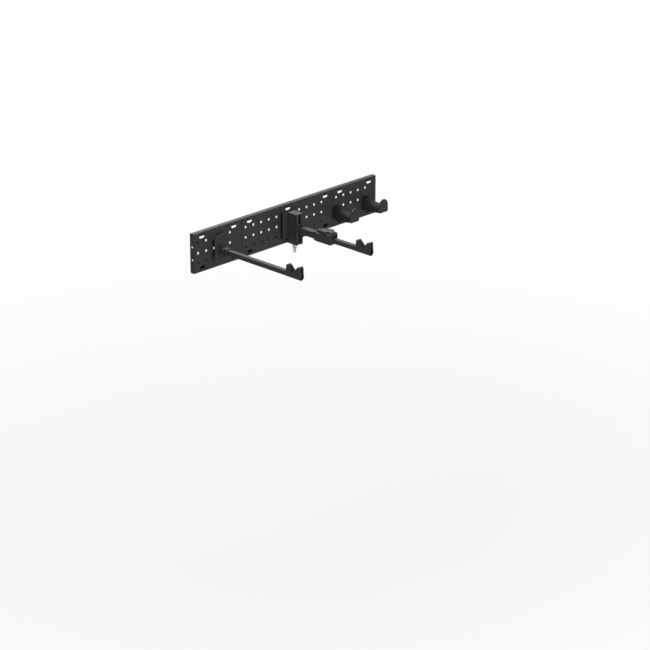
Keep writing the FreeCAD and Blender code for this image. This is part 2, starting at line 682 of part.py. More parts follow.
def bearing_screw_pair(oversize):
    """Countersunk screws through the rail's sides into the bearing, or the larger holes for them."""
    pair = []
    z = RAIL_BOTTOM + BEARING_HEIGHT / 2
    head = (BEARING_SCREW_HEAD + oversize) / 2
    shank = (BEARING_SCREW + oversize) / 2
    for sign in (-1, 1):
        edge = Vector(RIGHT_ARM_X + sign * RAIL_WIDTH / 2, out(SPINDLE_REACH), z)
        inwards = Vector(-sign, 0, 0)
        cone = Part.makeCone(head, shank, head - shank, edge, inwards)
        length = RAIL_WALL + BEARING_SCREW_DEPTH + oversize
        pair.append(cone.fuse(Part.makeCylinder(shank, length, edge, inwards)))
    return pair


def spindle_parts():
    """The height spindle with its hexagon end, and the two collars that keep it in its bearing."""
    x, reach = RIGHT_ARM_X, SPINDLE_REACH
    tail = RAIL_BOTTOM - SPINDLE_TAIL
    spindle = rod_up(SPINDLE, x, reach, tail + SPINDLE_HEX_LENGTH, SPINDLE_TOP)
    corners = [(x + u, reach + v, r) for u, v, r in hexagon(SPINDLE_HEX)]
    spindle = spindle.fuse(plan_solid(corners, tail, tail + SPINDLE_HEX_LENGTH))
    bore = SPINDLE + 2 * FILLED
    collar_top = RAIL_BOTTOM - BEARING_PLAY
    collar = rod_up(COLLAR, x, reach, collar_top - COLLAR_HEIGHT, collar_top)
    collar = collar.cut(rod_up(bore, x, reach, tail, RAIL_TOP))
    ring_bottom = RAIL_BOTTOM + BEARING_HEIGHT + BEARING_PLAY
    ring = rod_up(COLLAR, x, reach, ring_bottom, ring_bottom + RETAINER_HEIGHT)
    ring = ring.cut(rod_up(bore, x, reach, tail, RAIL_TOP))
    return spindle, collar, ring


def carriage():
    """The block that the spindle lifts, with a web through the rail's slot and a spigot for the tube."""
    x = RIGHT_ARM_X
    left, right, back, front = rail_inside(0)
    half = CARRIAGE_WIDTH / 2
    body_back, body_front = back + CARRIAGE_BACK_GAP, front - WEB_GAP
    bottom, top = ARM_HEIGHT - CARRIAGE_HEIGHT / 2, ARM_HEIGHT + CARRIAGE_HEIGHT / 2
    corners = [(x - half, body_back, 1.0), (x + half, body_back, 1.0),
               (x + half, body_front, 1.0), (x - half, body_front, 1.0)]
    block = plan_solid(corners, bottom, top)
    web_width = RAIL_SLOT - 2 * WEB_GAP
    tube_height = TUBE - 2 * TUBE_WALL - 2 * SPIGOT_PLAY
    tube_start = RAIL_FACE + WEB_GAP
    web = front_solid(rectangle(web_width, tube_height, x, ARM_HEIGHT), body_front - 1, tube_start)
    spigot = front_solid(rectangle(tube_height, tube_height, x, ARM_HEIGHT, TUBE_CORNER - TUBE_WALL),
                         tube_start, tube_start + SPIGOT_LENGTH)
    tools = [rod_up(SPINDLE + 2 * SPINDLE_PLAY, x, SPINDLE_REACH, bottom - 1, top + 1)] + cross_holes()
    for reach in tube_screw_reaches():
        tools.append(rod_across(TUBE_SCREW + 2 * FILLED, x + TUBE / 2 - TUBE_WALL - TUBE_SCREW_DEPTH,
                                x + TUBE, reach, ARM_HEIGHT))
    return block.fuse([web, spigot]).cut(tools)


def carriage_liners():
    """Slippery liners on the carriage's two sides, which run on the rail."""
    left, right, back, front = rail_inside(LINER_PLAY)
    half = CARRIAGE_WIDTH / 2
    near, far = back + CARRIAGE_BACK_GAP + 2, front - 4
    bottom, top = ARM_HEIGHT - CARRIAGE_HEIGHT / 2 + 2, ARM_HEIGHT + CARRIAGE_HEIGHT / 2 - 2
    outline = [(near, bottom, 1.0), (far, bottom, 1.0), (far, top, 1.0), (near, top, 1.0)]
    left_liner = side_solid(outline, left, RIGHT_ARM_X - half)
    right_liner = side_solid(outline, RIGHT_ARM_X + half, right)
    return group([left_liner.cut(cross_holes()), right_liner.cut(cross_holes())])


# Right arm: tube, lock and bar

def tube_screw_reaches():
    first = RAIL_FACE + WEB_GAP + (SPIGOT_LENGTH - TUBE_SCREW_SPACING) / 2
    return first, first + TUBE_SCREW_SPACING


def arm_tube():
    """The outer tube, from the carriage's web to the lock housing."""
    tube = square_tube(TUBE, TUBE_WALL, TUBE_CORNER, RIGHT_ARM_X, RAIL_FACE + WEB_GAP, FRONT_BUSH_START)
    holes = [rod_across(TUBE_SCREW + 2 * FILLED, RIGHT_ARM_X, RIGHT_ARM_X + TUBE, reach, ARM_HEIGHT)
             for reach in tube_screw_reaches()]
    return tube.cut(holes)


def tube_screws():
    """Button head screws through the tube's right side into the carriage's spigot."""
    screws = []
    side = RIGHT_ARM_X + TUBE / 2
    for reach in tube_screw_reaches():
        head = rod_across(TUBE_SCREW_HEAD, side, side + TUBE_SCREW_HEAD_HEIGHT, reach, ARM_HEIGHT)
        shank = rod_across(TUBE_SCREW, side - TUBE_WALL - TUBE_SCREW_DEPTH, side, reach, ARM_HEIGHT)
        screws.append(head.fuse(shank))
    return group(screws)


def housing_screw_places():
    inset = HOUSING_FLARE / 2
    return HOUSING_START + inset, FRONT_BUSH_START - inset


def lock_housing():
    """The moulded clamp round the tube's outer end, in two halves, with ears for the lever's pin."""
    x = RIGHT_ARM_X
    floor, roof = ARM_HEIGHT - HOUSING_FLOOR, ARM_HEIGHT + HOUSING_ROOF
    ear_top = PIN_HEIGHT + EAR_RISE
    half, neck = HOUSING_WIDTH / 2, HOUSING_NECK / 2
    start, end = HOUSING_START, HOUSING_END
    flare_end = start + HOUSING_FLARE
    plan = [(x - neck, start, 1.5), (x + neck, start, 1.5),
            (x + half, flare_end, HOUSING_SIDE_RADIUS), (x + half, end, HOUSING_NOSE),
            (x - half, end, HOUSING_NOSE), (x - half, flare_end, HOUSING_SIDE_RADIUS)]
    ear_back = PIN_REACH - EAR_BACK
    profile = [(start, floor, HOUSING_CHIN / 2), (end, floor, HOUSING_CHIN), (end, ear_top, EAR_BROW),
               (ear_back, ear_top, EAR_CORNER), (ear_back, roof, 0), (start, roof, HOUSING_CHIN / 2)]
    section = [(x - half, floor, HOUSING_KEEL), (x + half, floor, HOUSING_KEEL),
               (x + half, ear_top, 0), (x - half, ear_top, 0)]
    shape = plan_solid(plan, floor, ear_top).common(side_solid(profile, x - half, x + half))
    shape = shape.common(front_solid(section, start, end))
    tube_space = TUBE + 2 * TUBE_SEAT
    tools = [front_solid(rectangle(tube_space, tube_space, x, ARM_HEIGHT, TUBE_CORNER), 0, FRONT_BUSH_START)]
    bush = front_bush_side() + 2 * TUBE_SEAT
    tools.append(front_solid(rectangle(bush, bush, x, ARM_HEIGHT, 2.0), FRONT_BUSH_START, end + 1))
    tools.append(rod_across(PIN + 2 * FILLED, x - HOUSING_WIDTH, x + HOUSING_WIDTH, PIN_REACH, PIN_HEIGHT))
    tools.append(cam_space())
    screw_z = roof - HOUSING_SCREW_BELOW_ROOF
    head_space, shank_space = HOUSING_SCREW_HEAD + 2 * FILLED, HOUSING_SCREW + 2 * FILLED
    seat = housing_screw_seat()
    for reach in housing_screw_places():
        tools.append(rod_across(head_space, seat, x + HOUSING_WIDTH, reach, screw_z))
        tools.append(rod_across(shank_space, x - HOUSING_SCREW_ENGAGE, seat, reach, screw_z))
    shape = shape.cut(tools)
    size = 4 * HOUSING_WIDTH
    left_side = Part.makeBox(size, 4 * size, 4 * size, Vector(x - size, out(2 * size), -2 * size))
    right_side = Part.makeBox(size, 4 * size, 4 * size, Vector(x, out(2 * size), -2 * size))
    return shape.common(left_side), shape.common(right_side)


def housing_screw_seat():
    return RIGHT_ARM_X + HOUSING_NECK / 2 - HOUSING_SCREW_HEAD_HEIGHT


def front_bush_side():
    return BAR + 2 * SLIDE_PLAY + 2 * FRONT_BUSH_WALL


def cam_space():
    """Room between the housing's ears for the lever's cam, over its whole turn."""
    low = ARM_HEIGHT + BAR / 2
    half = CAM_WIDTH / 2 + CAM_GAP
    near = PIN_REACH - CAM_RADIUS - CAM_OFFSET - 4 * CAM_GAP
    ear_back = PIN_REACH - EAR_BACK - 1
    corners = [(near, low, 0), (HOUSING_END + 1, low, 0), (HOUSING_END + 1, PIN_HEIGHT + 2 * EAR_RISE, 0),
               (ear_back, PIN_HEIGHT + 2 * EAR_RISE, 0), (ear_back, ARM_HEIGHT + HOUSING_ROOF, 0),
               (near, ARM_HEIGHT + HOUSING_ROOF, 0)]
    return side_solid(corners, RIGHT_ARM_X - half, RIGHT_ARM_X + half)


def housing_screws():
    """The cross screws that draw the two halves of the housing together."""
    screws = []
    z = ARM_HEIGHT + HOUSING_ROOF - HOUSING_SCREW_BELOW_ROOF
    seat = housing_screw_seat()
    for reach in housing_screw_places():
        head = rod_across(HOUSING_SCREW_HEAD, seat, seat + HOUSING_SCREW_HEAD_HEIGHT, reach, z)
        shank = rod_across(HOUSING_SCREW, RIGHT_ARM_X - HOUSING_SCREW_ENGAGE, seat, reach, z)
        screws.append(head.fuse(shank))
    return group(screws)


def front_bush():
    """The plastic guide in the housing's mouth, open on top where the cam reaches the bar."""
    side = front_bush_side()
    bush = front_solid(rectangle(side, side, RIGHT_ARM_X, ARM_HEIGHT, 2.0), FRONT_BUSH_START, HOUSING_END)
    bore = BAR + 2 * SLIDE_PLAY
    bore_solid = front_solid(rectangle(bore, bore, RIGHT_ARM_X, ARM_HEIGHT, BAR_CORNER), 0, 2 * HOUSING_END)
    return bush.cut([bore_solid, cam_space()])


def rear_bush():
    """The plastic collar on the sliding bar's inner end, which runs in the tube."""
    side = TUBE - 2 * TUBE_WALL - 2 * SLIDE_PLAY
    end = BAR_START + REAR_BUSH_LENGTH
    outline = rectangle(side, side, RIGHT_ARM_X, ARM_HEIGHT, TUBE_CORNER - TUBE_WALL)
    collar = front_solid(outline, BAR_START, end)
    bore = front_solid(rectangle(BAR, BAR, RIGHT_ARM_X, ARM_HEIGHT, BAR_CORNER), 0, 2 * end)
    return collar.cut(bore)


def lock_lever():
    """An off-centre cam on the pin, with a broad tapering paddle that lies back along the arm."""
    x = RIGHT_ARM_X
    half, wide, narrow = CAM_WIDTH / 2, LEVER_WIDTH / 2, LEVER_TIP_WIDTH / 2
    cam = rod_across(2 * CAM_RADIUS, x - half, x + half, PIN_REACH, PIN_HEIGHT - CAM_OFFSET)
    tip = PIN_REACH - LEVER_LENGTH
    shoulder = PIN_REACH - LEVER_SHOULDER
    front = PIN_REACH + CAM_RADIUS
    under = ARM_HEIGHT + HOUSING_ROOF + LEVER_GAP
    top = PIN_HEIGHT + LEVER_ROOT_RISE
    profile = [(tip, under, 1.2), (PIN_REACH, under, 0), (front - 1, top - 4, 0),
               (PIN_REACH, top, LEVER_CROWN), (PIN_REACH - LEVER_LEVEL, top, LEVER_KNEE),
               (tip, under + LEVER_TIP_THICKNESS, 1.8)]
    right_side = [(half, front, 0), (half, shoulder, 0), (wide, shoulder, 0),
                  (wide, shoulder - LEVER_PARALLEL, LEVER_SIDE_RADIUS), (narrow, tip, narrow - 1)]
    left_side = [(-across, reach, radius) for across, reach, radius in reversed(right_side)]
    plan = [(x + across, reach, radius) for across, reach, radius in right_side + left_side]
    paddle = side_solid(profile, x - wide, x + wide).common(plan_solid(plan, under - 1, top + 1))
    bore = rod_across(PIN + 2 * PIN_PLAY, x - CAM_WIDTH, x + CAM_WIDTH, PIN_REACH, PIN_HEIGHT)
    return cam.fuse(paddle).cut(bore)


def lever_pin():
    half = HOUSING_WIDTH / 2 - PIN_INSET
    return rod_across(PIN, RIGHT_ARM_X - half, RIGHT_ARM_X + half, PIN_REACH, PIN_HEIGHT)


# Drum hooks

def hook_screw_heights():
    middle = (DRUM_BOTTOM + DRUM_TOP) / 2
    return middle - HOOK_SCREW_SPACING / 2, middle + HOOK_SCREW_SPACING / 2


def drum_stations():
    """Reach, width, bottom and top of a drum at its root, its waist and its end."""
    return [(0.0, DRUM_WIDTH, DRUM_BOTTOM, DRUM_TOP), (DRUM_ROOT, DRUM_WIDTH, DRUM_BOTTOM, DRUM_TOP),
            (DRUM_WAIST_REACH, DRUM_WAIST, WAIST_BOTTOM, WAIST_TOP),
            (DRUM_LENGTH, DRUM_WIDTH, DRUM_END_BOTTOM, DRUM_END_TOP)]


def drum_section(x, reach, inset):
    """A drum's arched outline at a reach, drawn in by an inset."""
    stations = drum_stations()
    before, after = next(pair for pair in zip(stations, stations[1:]) if reach <= pair[1][0])
    share = (reach - before[0]) / (after[0] - before[0])
    width, bottom, top = [first + (second - first) * share for first, second in zip(before[1:], after[1:])]
    corners = arch(width - 2 * inset, top - bottom - 2 * inset, x, bottom + inset, DRUM_CORNER - inset / 2)
    return rounded_wire(corners, lambda point: Vector(point.x, out(reach), point.y))


def drum_body(x, near, far, inset):
    """A drum between two reaches, drawn in by an inset."""
    between = [station[0] for station in drum_stations() if near < station[0] < far]
    wires = [drum_section(x, reach, inset) for reach in [near] + between + [far]]
    return Part.makeLoft(wires, True, True)


def hook_drum(x):
    """A hollow drum of arched section with a waist, and bosses for its screws."""
    drum = drum_body(x, 0, DRUM_LENGTH, 0).cut(drum_body(x, DRUM_BACK, DRUM_LENGTH, DRUM_WALL))
    for z in hook_screw_heights():
        drum = drum.fuse(rod_out(HOOK_BOSS, x, z, DRUM_BACK / 2, HOOK_SCREW_LENGTH + DRUM_BACK))
    for z in hook_screw_heights():
        drum = drum.cut(rod_out(HOOK_SCREW + 2 * FILLED, x, z, -1, HOOK_SCREW_LENGTH))
    return drum


def hook_end_plate(x):
    """The arched end plate that stops things slipping off, with a rim that plugs into the drum."""
    corners = arch(END_PLATE_WIDTH, END_PLATE_HEIGHT, x, END_PLATE_BOTTOM, END_PLATE_CORNER)
    plate = front_solid(corners, DRUM_LENGTH, DRUM_LENGTH + END_PLATE_THICKNESS)
    near = DRUM_LENGTH - END_PLATE_RIM
    rim = drum_body(x, near, DRUM_LENGTH, DRUM_WALL + END_PLATE_PLAY)
    core = drum_body(x, near, DRUM_LENGTH, 2 * DRUM_WALL)
    return plate.fuse(rim.cut(core))


def hook_screws(x):
    """Screws from behind the panel into the drum's bosses."""
    screws = []
    for z in hook_screw_heights():
        head = rod_out(HOOK_SCREW_HEAD, x, z, -SHEET - HOOK_SCREW_HEAD_HEIGHT, -SHEET)
        screws.append(head.fuse(rod_out(HOOK_SCREW, x, z, -SHEET, HOOK_SCREW_LENGTH)))
    return group(screws)


# Assembly

def build():
    half_row, half_long = ROW_LENGTH / 2, LONG_LENGTH / 2
    short_slots = (1, SHORT_PANEL_COLUMNS - 1)
    long_slots = (1, LONG_PANEL_COLUMNS / 2, LONG_PANEL_COLUMNS - 1)
    NODES["panel_left"] = panel(-half_row, SHORT_PANEL_COLUMNS, short_slots, [])
    NODES["panel_middle"] = panel(-half_long, LONG_PANEL_COLUMNS, long_slots, [])
    NODES["panel_right"] = panel(half_long, SHORT_PANEL_COLUMNS, short_slots, HOOK_PLACES)
    NODES["panel_link_bolts"], NODES["panel_link_nuts"] = panel_links()
    NODES["blanking_plug"] = blanking_plug()

    NODES["left_base_plate"] = base_plate(LEFT_ARM_X, LEFT_BASE_WIDTH)
    NODES["left_base_lugs"] = hook_lugs(LEFT_ARM_X)
    NODES["left_socket"], NODES["left_socket_screws"] = left_socket()
    NODES["left_bar"] = square_tube(BAR, BAR_WALL, BAR_CORNER, LEFT_ARM_X, BASE_FACE, ARM_REACH - SHOULDER)
    add_cradle("left", LEFT_ARM_X)

    screw_spaces = [rail_screw_space(z) for z in rail_screw_heights()]
    NODES["guide_base_plate"] = base_plate(RIGHT_ARM_X, GUIDE_BASE_WIDTH).cut(screw_spaces)
    NODES["guide_base_lugs"] = hook_lugs(RIGHT_ARM_X)
    NODES["guide_rail"] = guide_rail()
    NODES["guide_rail_screws"], NODES["guide_rail_nuts"] = rail_fixings()
    NODES["spindle_bearing"] = spindle_bearing()
    NODES["bearing_screws"] = group(bearing_screw_pair(0))
    NODES["height_spindle"], NODES["spindle_collar"], NODES["spindle_retainer"] = spindle_parts()
    NODES["carriage"] = carriage()
    NODES["carriage_liners"] = carriage_liners()
    NODES["arm_tube"] = arm_tube()
    NODES["arm_tube_screws"] = tube_screws()
    NODES["lock_housing_left"], NODES["lock_housing_right"] = lock_housing()
    NODES["lock_housing_screws"] = housing_screws()
    NODES["slide_bush_front"] = front_bush()
    NODES["slide_bush_rear"] = rear_bush()
    NODES["lock_lever"] = lock_lever()
    NODES["lever_pin"] = lever_pin()
    NODES["right_bar"] = square_tube(BAR, BAR_WALL, BAR_CORNER, RIGHT_ARM_X, BAR_START, ARM_REACH - SHOULDER)
    add_cradle("right", RIGHT_ARM_X)

    for side, x in zip(("inner", "outer"), HOOK_PLACES):
        NODES[side + "_hook_drum"] = hook_drum(x)
        NODES[side + "_hook_end_plate"] = hook_end_plate(x)
        NODES[side + "_hook_screws"] = hook_screws(x)


build()
os.makedirs("parts", exist_ok=True)
for name, shape in NODES.items():
    shape.exportStep("parts/" + name + ".step")
print(len(NODES), "nodes")
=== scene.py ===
import itertools
import json
import math

import bmesh
import bpy
from bpy.props import FloatProperty, FloatVectorProperty, IntProperty, PointerProperty
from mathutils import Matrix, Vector

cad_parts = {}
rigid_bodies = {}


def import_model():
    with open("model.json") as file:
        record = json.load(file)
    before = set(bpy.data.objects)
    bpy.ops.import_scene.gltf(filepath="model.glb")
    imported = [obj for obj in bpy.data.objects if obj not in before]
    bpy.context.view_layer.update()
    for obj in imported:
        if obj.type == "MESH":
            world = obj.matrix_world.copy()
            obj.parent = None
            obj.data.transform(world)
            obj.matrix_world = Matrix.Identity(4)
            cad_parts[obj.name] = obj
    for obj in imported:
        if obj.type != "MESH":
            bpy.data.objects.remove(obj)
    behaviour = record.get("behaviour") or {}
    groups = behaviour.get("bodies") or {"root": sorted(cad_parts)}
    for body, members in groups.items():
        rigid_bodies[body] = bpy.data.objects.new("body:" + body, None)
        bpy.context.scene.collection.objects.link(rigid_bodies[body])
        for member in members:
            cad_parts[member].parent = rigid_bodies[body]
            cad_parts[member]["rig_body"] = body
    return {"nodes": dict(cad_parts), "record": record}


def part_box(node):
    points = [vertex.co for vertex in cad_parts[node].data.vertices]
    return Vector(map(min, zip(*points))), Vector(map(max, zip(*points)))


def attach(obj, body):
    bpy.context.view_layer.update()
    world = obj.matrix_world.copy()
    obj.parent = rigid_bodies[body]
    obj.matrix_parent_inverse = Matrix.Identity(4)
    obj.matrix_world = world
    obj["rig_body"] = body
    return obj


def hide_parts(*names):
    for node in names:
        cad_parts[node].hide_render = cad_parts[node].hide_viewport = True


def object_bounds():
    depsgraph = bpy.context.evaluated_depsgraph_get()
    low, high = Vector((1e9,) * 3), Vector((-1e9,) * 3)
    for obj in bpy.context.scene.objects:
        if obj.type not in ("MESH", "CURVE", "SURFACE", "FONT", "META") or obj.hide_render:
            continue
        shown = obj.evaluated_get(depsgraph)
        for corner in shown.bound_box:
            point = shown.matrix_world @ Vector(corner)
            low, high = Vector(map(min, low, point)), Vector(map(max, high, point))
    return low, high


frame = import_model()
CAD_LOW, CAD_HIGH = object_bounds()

bl_info = {
    "name": "Bike wall mount",
    "version": (1, 0, 0),
    "blender": (4, 5, 0),
    "location": "View3D > Sidebar > Wall mount",
    "description": "Dresses a perforated wall mount with its arms, cradles and drum hooks",
    "category": "Object",
}

# Lengths below are millimetres, and this turns them into Blender's metres.
MM = 0.001

# Edges that bend by more than this are shaded sharp, and broken where a piece is softened.
SHARP = math.radians(32)

# Points nearer than this are joined, and faces that bend less than this are one flat face.
JOIN = 0.004 * MM
FLAT = math.radians(0.4)

# How near two places count as one
TOUCH = 0.01 * MM

# Steps across a broken edge, a moulded one and the rims at the panels' ends
EDGE_STEPS = 2
MOULD_STEPS = 3
RIM_STEPS = 5

MATERIALS = {}
NODES = frame["nodes"]
SLOTS = {row["node"]: row["material_slot"] for row in frame["record"]["subparts"]}
PANEL_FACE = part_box("panel_middle")[0].y / MM


# Sizes and colours that a user would change

def linear(colour):
    """An sRGB hex value as linear red, green, blue and alpha."""
    channels = [int(colour[start:start + 2], 16) / 255 for start in (1, 3, 5)]
    return [c / 12.92 if c <= 0.04045 else ((c + 0.055) / 1.055) ** 2.4 for c in channels] + [1.0]


def length(name, description, millimetres):
    """A property that holds a length."""
    return FloatProperty(name=name, description=description, default=millimetres * MM, min=0.0,
                         precision=5, unit="LENGTH")


def colour(name, description, value):
    """A property that holds a colour, from its sRGB hex value."""
    return FloatVectorProperty(name=name, description=description, default=linear(value), size=4,
                               min=0.0, max=1.0, subtype="COLOR")


class MountDetailSizes(bpy.types.PropertyGroup):
    """Sizes of the details that the solids leave plain"""

    end_rim: length("End rim", "Rounding of the rims at the panels' ends", 1.0)
    seam: length("Seam", "Open line between two panels", 1.0)
    sheet_edge: length("Sheet edge", "Rounding of punched and cut sheet", 0.35)
    plate_edge: length("Plate edge", "Rounding of thick plates and tubes", 0.6)
    mould_edge: length("Moulded edge", "Rounding of the cradles, the clamp and its lever", 0.9)
    screw_edge: length("Small edge", "Rounding of small turned and cut pieces", 0.3)
    weld_bead: length("Weld bead", "Width of the weld round the left socket", 2.4)
    thread_lead: length("Thread lead", "Lead of the height spindle", 3.0)
    thread_depth: length("Thread depth", "Depth of the spindle's thread", 1.4)
    rib_spacing: length("Rib spacing", "Between the ribs of the cradle pads", 4.2)
    rib_height: length("Rib height", "Height of the pads' ribs", 0.9)
    knurl_teeth: IntProperty(name="Knurl teeth", description="Teeth round the spindle's collar",
                             default=30, min=8)


class MountFinishColours(bpy.types.PropertyGroup):
    """Colours of the finishes"""

    coat: colour("Powder coat", "Panels, plates, tubes and rail", "#4b4b4a")
    nylon: colour("Moulded nylon", "Cradles, clamp, lever and hook ends", "#424241")
    # The drum skin is darker than the nylon partly by its own tone and partly as painted shade
    skin: colour("Drum skin", "Soft skin of the drums", "#383837")
    rubber: colour("Rubber", "Cradle pads", "#3a3a39")
    zinc: colour("Zinc", "Spindle, nuts and bolts", "#b4b6b8")
    oxide: colour("Black oxide", "Blackened screws and pin", "#3a3a3b")
    aluminium: colour("Cast aluminium", "Carriage", "#8c8d8e")
    acetal: colour("Acetal", "Bushes, liners and bearing", "#4a4a49")
    floor: colour("Floor", "Floor of the studio", "#bcbcbb")


def sizes():
    return bpy.context.scene.mount_sizes


# Materials

NOISE, CELLS, WAVES = "ShaderNodeTexNoise", "ShaderNodeTexVoronoi", "ShaderNodeTexWave"

# Textures: the output that carries the pattern, and the size of a feature at a scale of one
TEXTURES = {NOISE: ("Fac", 1.0), CELLS: ("Distance", 1.0), WAVES: ("Fac", 2 * math.pi / 20)}


def shade(base, share):
    """A linear colour made lighter or darker by one share, or by one for each channel."""
    shares = share if isinstance(share, tuple) else (share,) * 3
    return [channel * each for channel, each in zip(base, shares)] + [1.0]


def socket(sockets, key):
    """A socket by its identifier or its name."""
    return next(each for each in sockets if key in (each.identifier, each.name))


def add(tree, kind, inputs=None, **settings):
    """Adds a node with its settings, and sets or links its inputs."""
    node = tree.nodes.new(kind)
    for name, value in settings.items():
        setattr(node, name, value)
    for key, value in (inputs or {}).items():
        if isinstance(value, bpy.types.NodeSocket):
            tree.links.new(value, socket(node.inputs, key))
        else:
            socket(node.inputs, key).default_value = value
    return node


def cleared_tree(owner):
    """The node tree of a new material or world, with nothing in it."""
    owner.use_nodes = True
    owner.node_tree.nodes.clear()
    return owner.node_tree


def finish(name, constants, pattern, relief, base, shares, roughness, strength, depth):
    """Makes a material from its shader's constants, a pattern and a relief.

    The pattern blends two shades of a base colour and two roughnesses. It and the relief each
    give a texture, the size of its features in millimetres, its inputs and any settings. A
    finish without a relief of its own is raised by its pattern."""
    material = bpy.data.materials.new(name)
    tree = cleared_tree(material)
    place = add(tree, "ShaderNodeTexCoord").outputs["Object"]
    values = []
    for kind, size, inputs, *settings in filter(None, (pattern, relief)):
        output, unit = TEXTURES[kind]
        scaled = {"Vector": place, "Scale": unit / (size * MM), **inputs}
        values.append(add(tree, kind, scaled, **dict(*settings)).outputs[output])
    tint = add(tree, "ShaderNodeMix",
               {"Factor_Float": values[0], "A_Color": shade(base, shares[0]),
                "B_Color": shade(base, shares[1])}, data_type="RGBA")
    dull = add(tree, "ShaderNodeMapRange",
               {"Value": values[0], "To Min": roughness[0], "To Max": roughness[1]})
    bump = add(tree, "ShaderNodeBump",
               {"Height": values[-1], "Strength": strength, "Distance": depth * MM})
    shader = add(tree, "ShaderNodeBsdfPrincipled",
                 {**constants, "Base Color": socket(tint.outputs, "Result_Color"),
                  "Roughness": dull.outputs["Result"], "Normal": bump.outputs["Normal"]})
    add(tree, "ShaderNodeOutputMaterial", {"Surface": shader.outputs["BSDF"]})
    MATERIALS[name] = material


def powder_coated_steel(colours):
    # Polyester powder baked on sheet steel: a dull, faintly clouded skin with a fine orange peel.
    # The peel of the real coat is under 1 mm, and is drawn at 1.6 mm so that it shows.
    finish("powder_coated_steel", {"IOR": 1.48, "Specular IOR Level": 0.14},
           (NOISE, 60, {"Detail": 5.0}), (NOISE, 1.6, {"Detail": 1.5}),
           colours.coat, (0.84, 1.16), (0.46, 0.62), 0.30, 0.15)


def moulded_nylon(colours):
    # Glass-filled nylon from a spark-eroded mould: matt, with flow marks and shallow, even pits.
    # The pits are about 0.4 mm wide, and are drawn at 1.1 mm so that they show.
    finish("moulded_nylon", {"IOR": 1.53, "Specular IOR Level": 0.16},
           (NOISE, 22, {"Detail": 5.0, "Distortion": 0.8}), (CELLS, 1.1, {}),
           colours.nylon, (0.82, 1.18), (0.40, 0.58), 0.30, 0.12)


def drum_skin_with_painted_shade(colours):
    # A soft skin sprayed on moulded drums: dark and velvety, with a faint sheen at its edges.
    # Its colour is partly the skin's own dark tone and partly painted shade: it is set darker than
    # the moulded nylon to stand in for the shade on the drums. Its nap is about 0.2 mm, and is
    # drawn at 1 mm so that it shows.
    finish("drum_skin_with_painted_shade", {"IOR": 1.45, "Specular IOR Level": 0.12, "Sheen Weight": 0.03},
           (NOISE, 14, {"Detail": 5.0}), (NOISE, 1.0, {"Detail": 2.0}),
           colours.skin, (0.85, 1.15), (0.62, 0.78), 0.20, 0.06)


def pad_rubber(colours):
    # Moulded rubber: almost no gloss, with a dusty bloom in patches and a soft tooth.
    # The tooth of the real skin is about 0.3 mm, and is drawn at 0.9 mm so that it shows.
    finish("pad_rubber", {"IOR": 1.52, "Specular IOR Level": 0.14},
           (NOISE, 8, {"Detail": 6.0}), (NOISE, 0.9, {"Detail": 2.0}),
           colours.rubber, (0.75, 1.30), (0.70, 0.92), 0.35, 0.10)


def zinc_plated_steel(colours):
    # Turned steel with bright zinc: a pale metal with fine lathe lines and an uneven, bluish film.
    # Lathe lines of 0.2 mm are drawn at 0.7 mm so that they show.
    finish("zinc_plated_steel", {"Metallic": 1.0}, (NOISE, 6, {"Detail": 4.0}),
           (WAVES, 0.7, {"Distortion": 0.6}, {"bands_direction": "Z"}),
           colours.zinc, ((0.76, 0.79, 0.84), 1.06), (0.26, 0.44), 0.10, 0.05)


def black_oxide_steel(colours):
    # Steel blackened in hot salts and oiled: a dark metal with a soft sheen, browner where rubbed.
    finish("black_oxide_steel", {"Metallic": 0.6}, (NOISE, 2.5, {"Detail": 4.0}), None,
           colours.oxide, (0.80, (1.5, 1.32, 1.18)), (0.34, 0.52), 0.12, 0.05)


def cast_aluminium(colours):
    # A tumbled die casting: grey metal with a pebbled skin and faint stains.
    finish("cast_aluminium", {"Metallic": 1.0},
           (NOISE, 12, {"Detail": 4.0}), (CELLS, 1.6, {}),
           colours.aluminium, (0.78, 1.1), (0.42, 0.60), 0.30, 0.15)


def machined_acetal(colours):
    # Acetal cut from bar: waxy and smooth, with faint tool marks.
    # Tool marks of 0.3 mm are drawn at 1.5 mm so that they show.
    finish("machined_acetal", {"IOR": 1.48, "Specular IOR Level": 0.4},
           (WAVES, 1.5, {"Distortion": 1.5, "Detail": 2.0}), None,
           colours.acetal, (0.90, 1.06), (0.32, 0.44), 0.08, 0.05)


FINISHES = {
    "coated_steel": powder_coated_steel,
    "zinc_plated_steel": zinc_plated_steel,
    "blackened_screws": black_oxide_steel,
    "moulded_plastic": moulded_nylon,
    "slide_plastic": machined_acetal,
    "cast_aluminium": cast_aluminium,
    "pad_rubber": pad_rubber,
}


def finish_of(slot):
    """The material that a slot of the record is shown with."""
    return MATERIALS[FINISHES[slot].__name__]


# Mesh helpers

def at(x, reach, z):
    """A point by its place along the wall, its reach from the panels' faces and its height."""
    return Vector((x, PANEL_FACE - reach, z)) * MM


def box_of(node):
    """The lowest and highest corners of a node, in millimetres."""
    low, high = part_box(node)
    return low / MM, high / MM


def span_of(node):
    """The middle of a node along the wall and half its width, in millimetres."""
    low, high = box_of(node)
    return (low.x + high.x) / 2, (high.x - low.x) / 2


def corner_normals(shape):
    """A normal for each corner of each face: the mean, by area, of the faces that run on smoothly.

    The weight keeps a broad flat face flat up to its rounded edges."""
    areas = [face.calc_area() for face in shape.faces]
    limit = math.cos(SHARP)
    normals = []
    for face in shape.faces:
        for corner in face.loops:
            mean = Vector((0.0, 0.0, 0.0))
            for other in corner.vert.link_faces:
                if other.normal.dot(face.normal) > limit:
                    mean += other.normal * areas[other.index]
            normals.append(mean.normalized())
    return normals


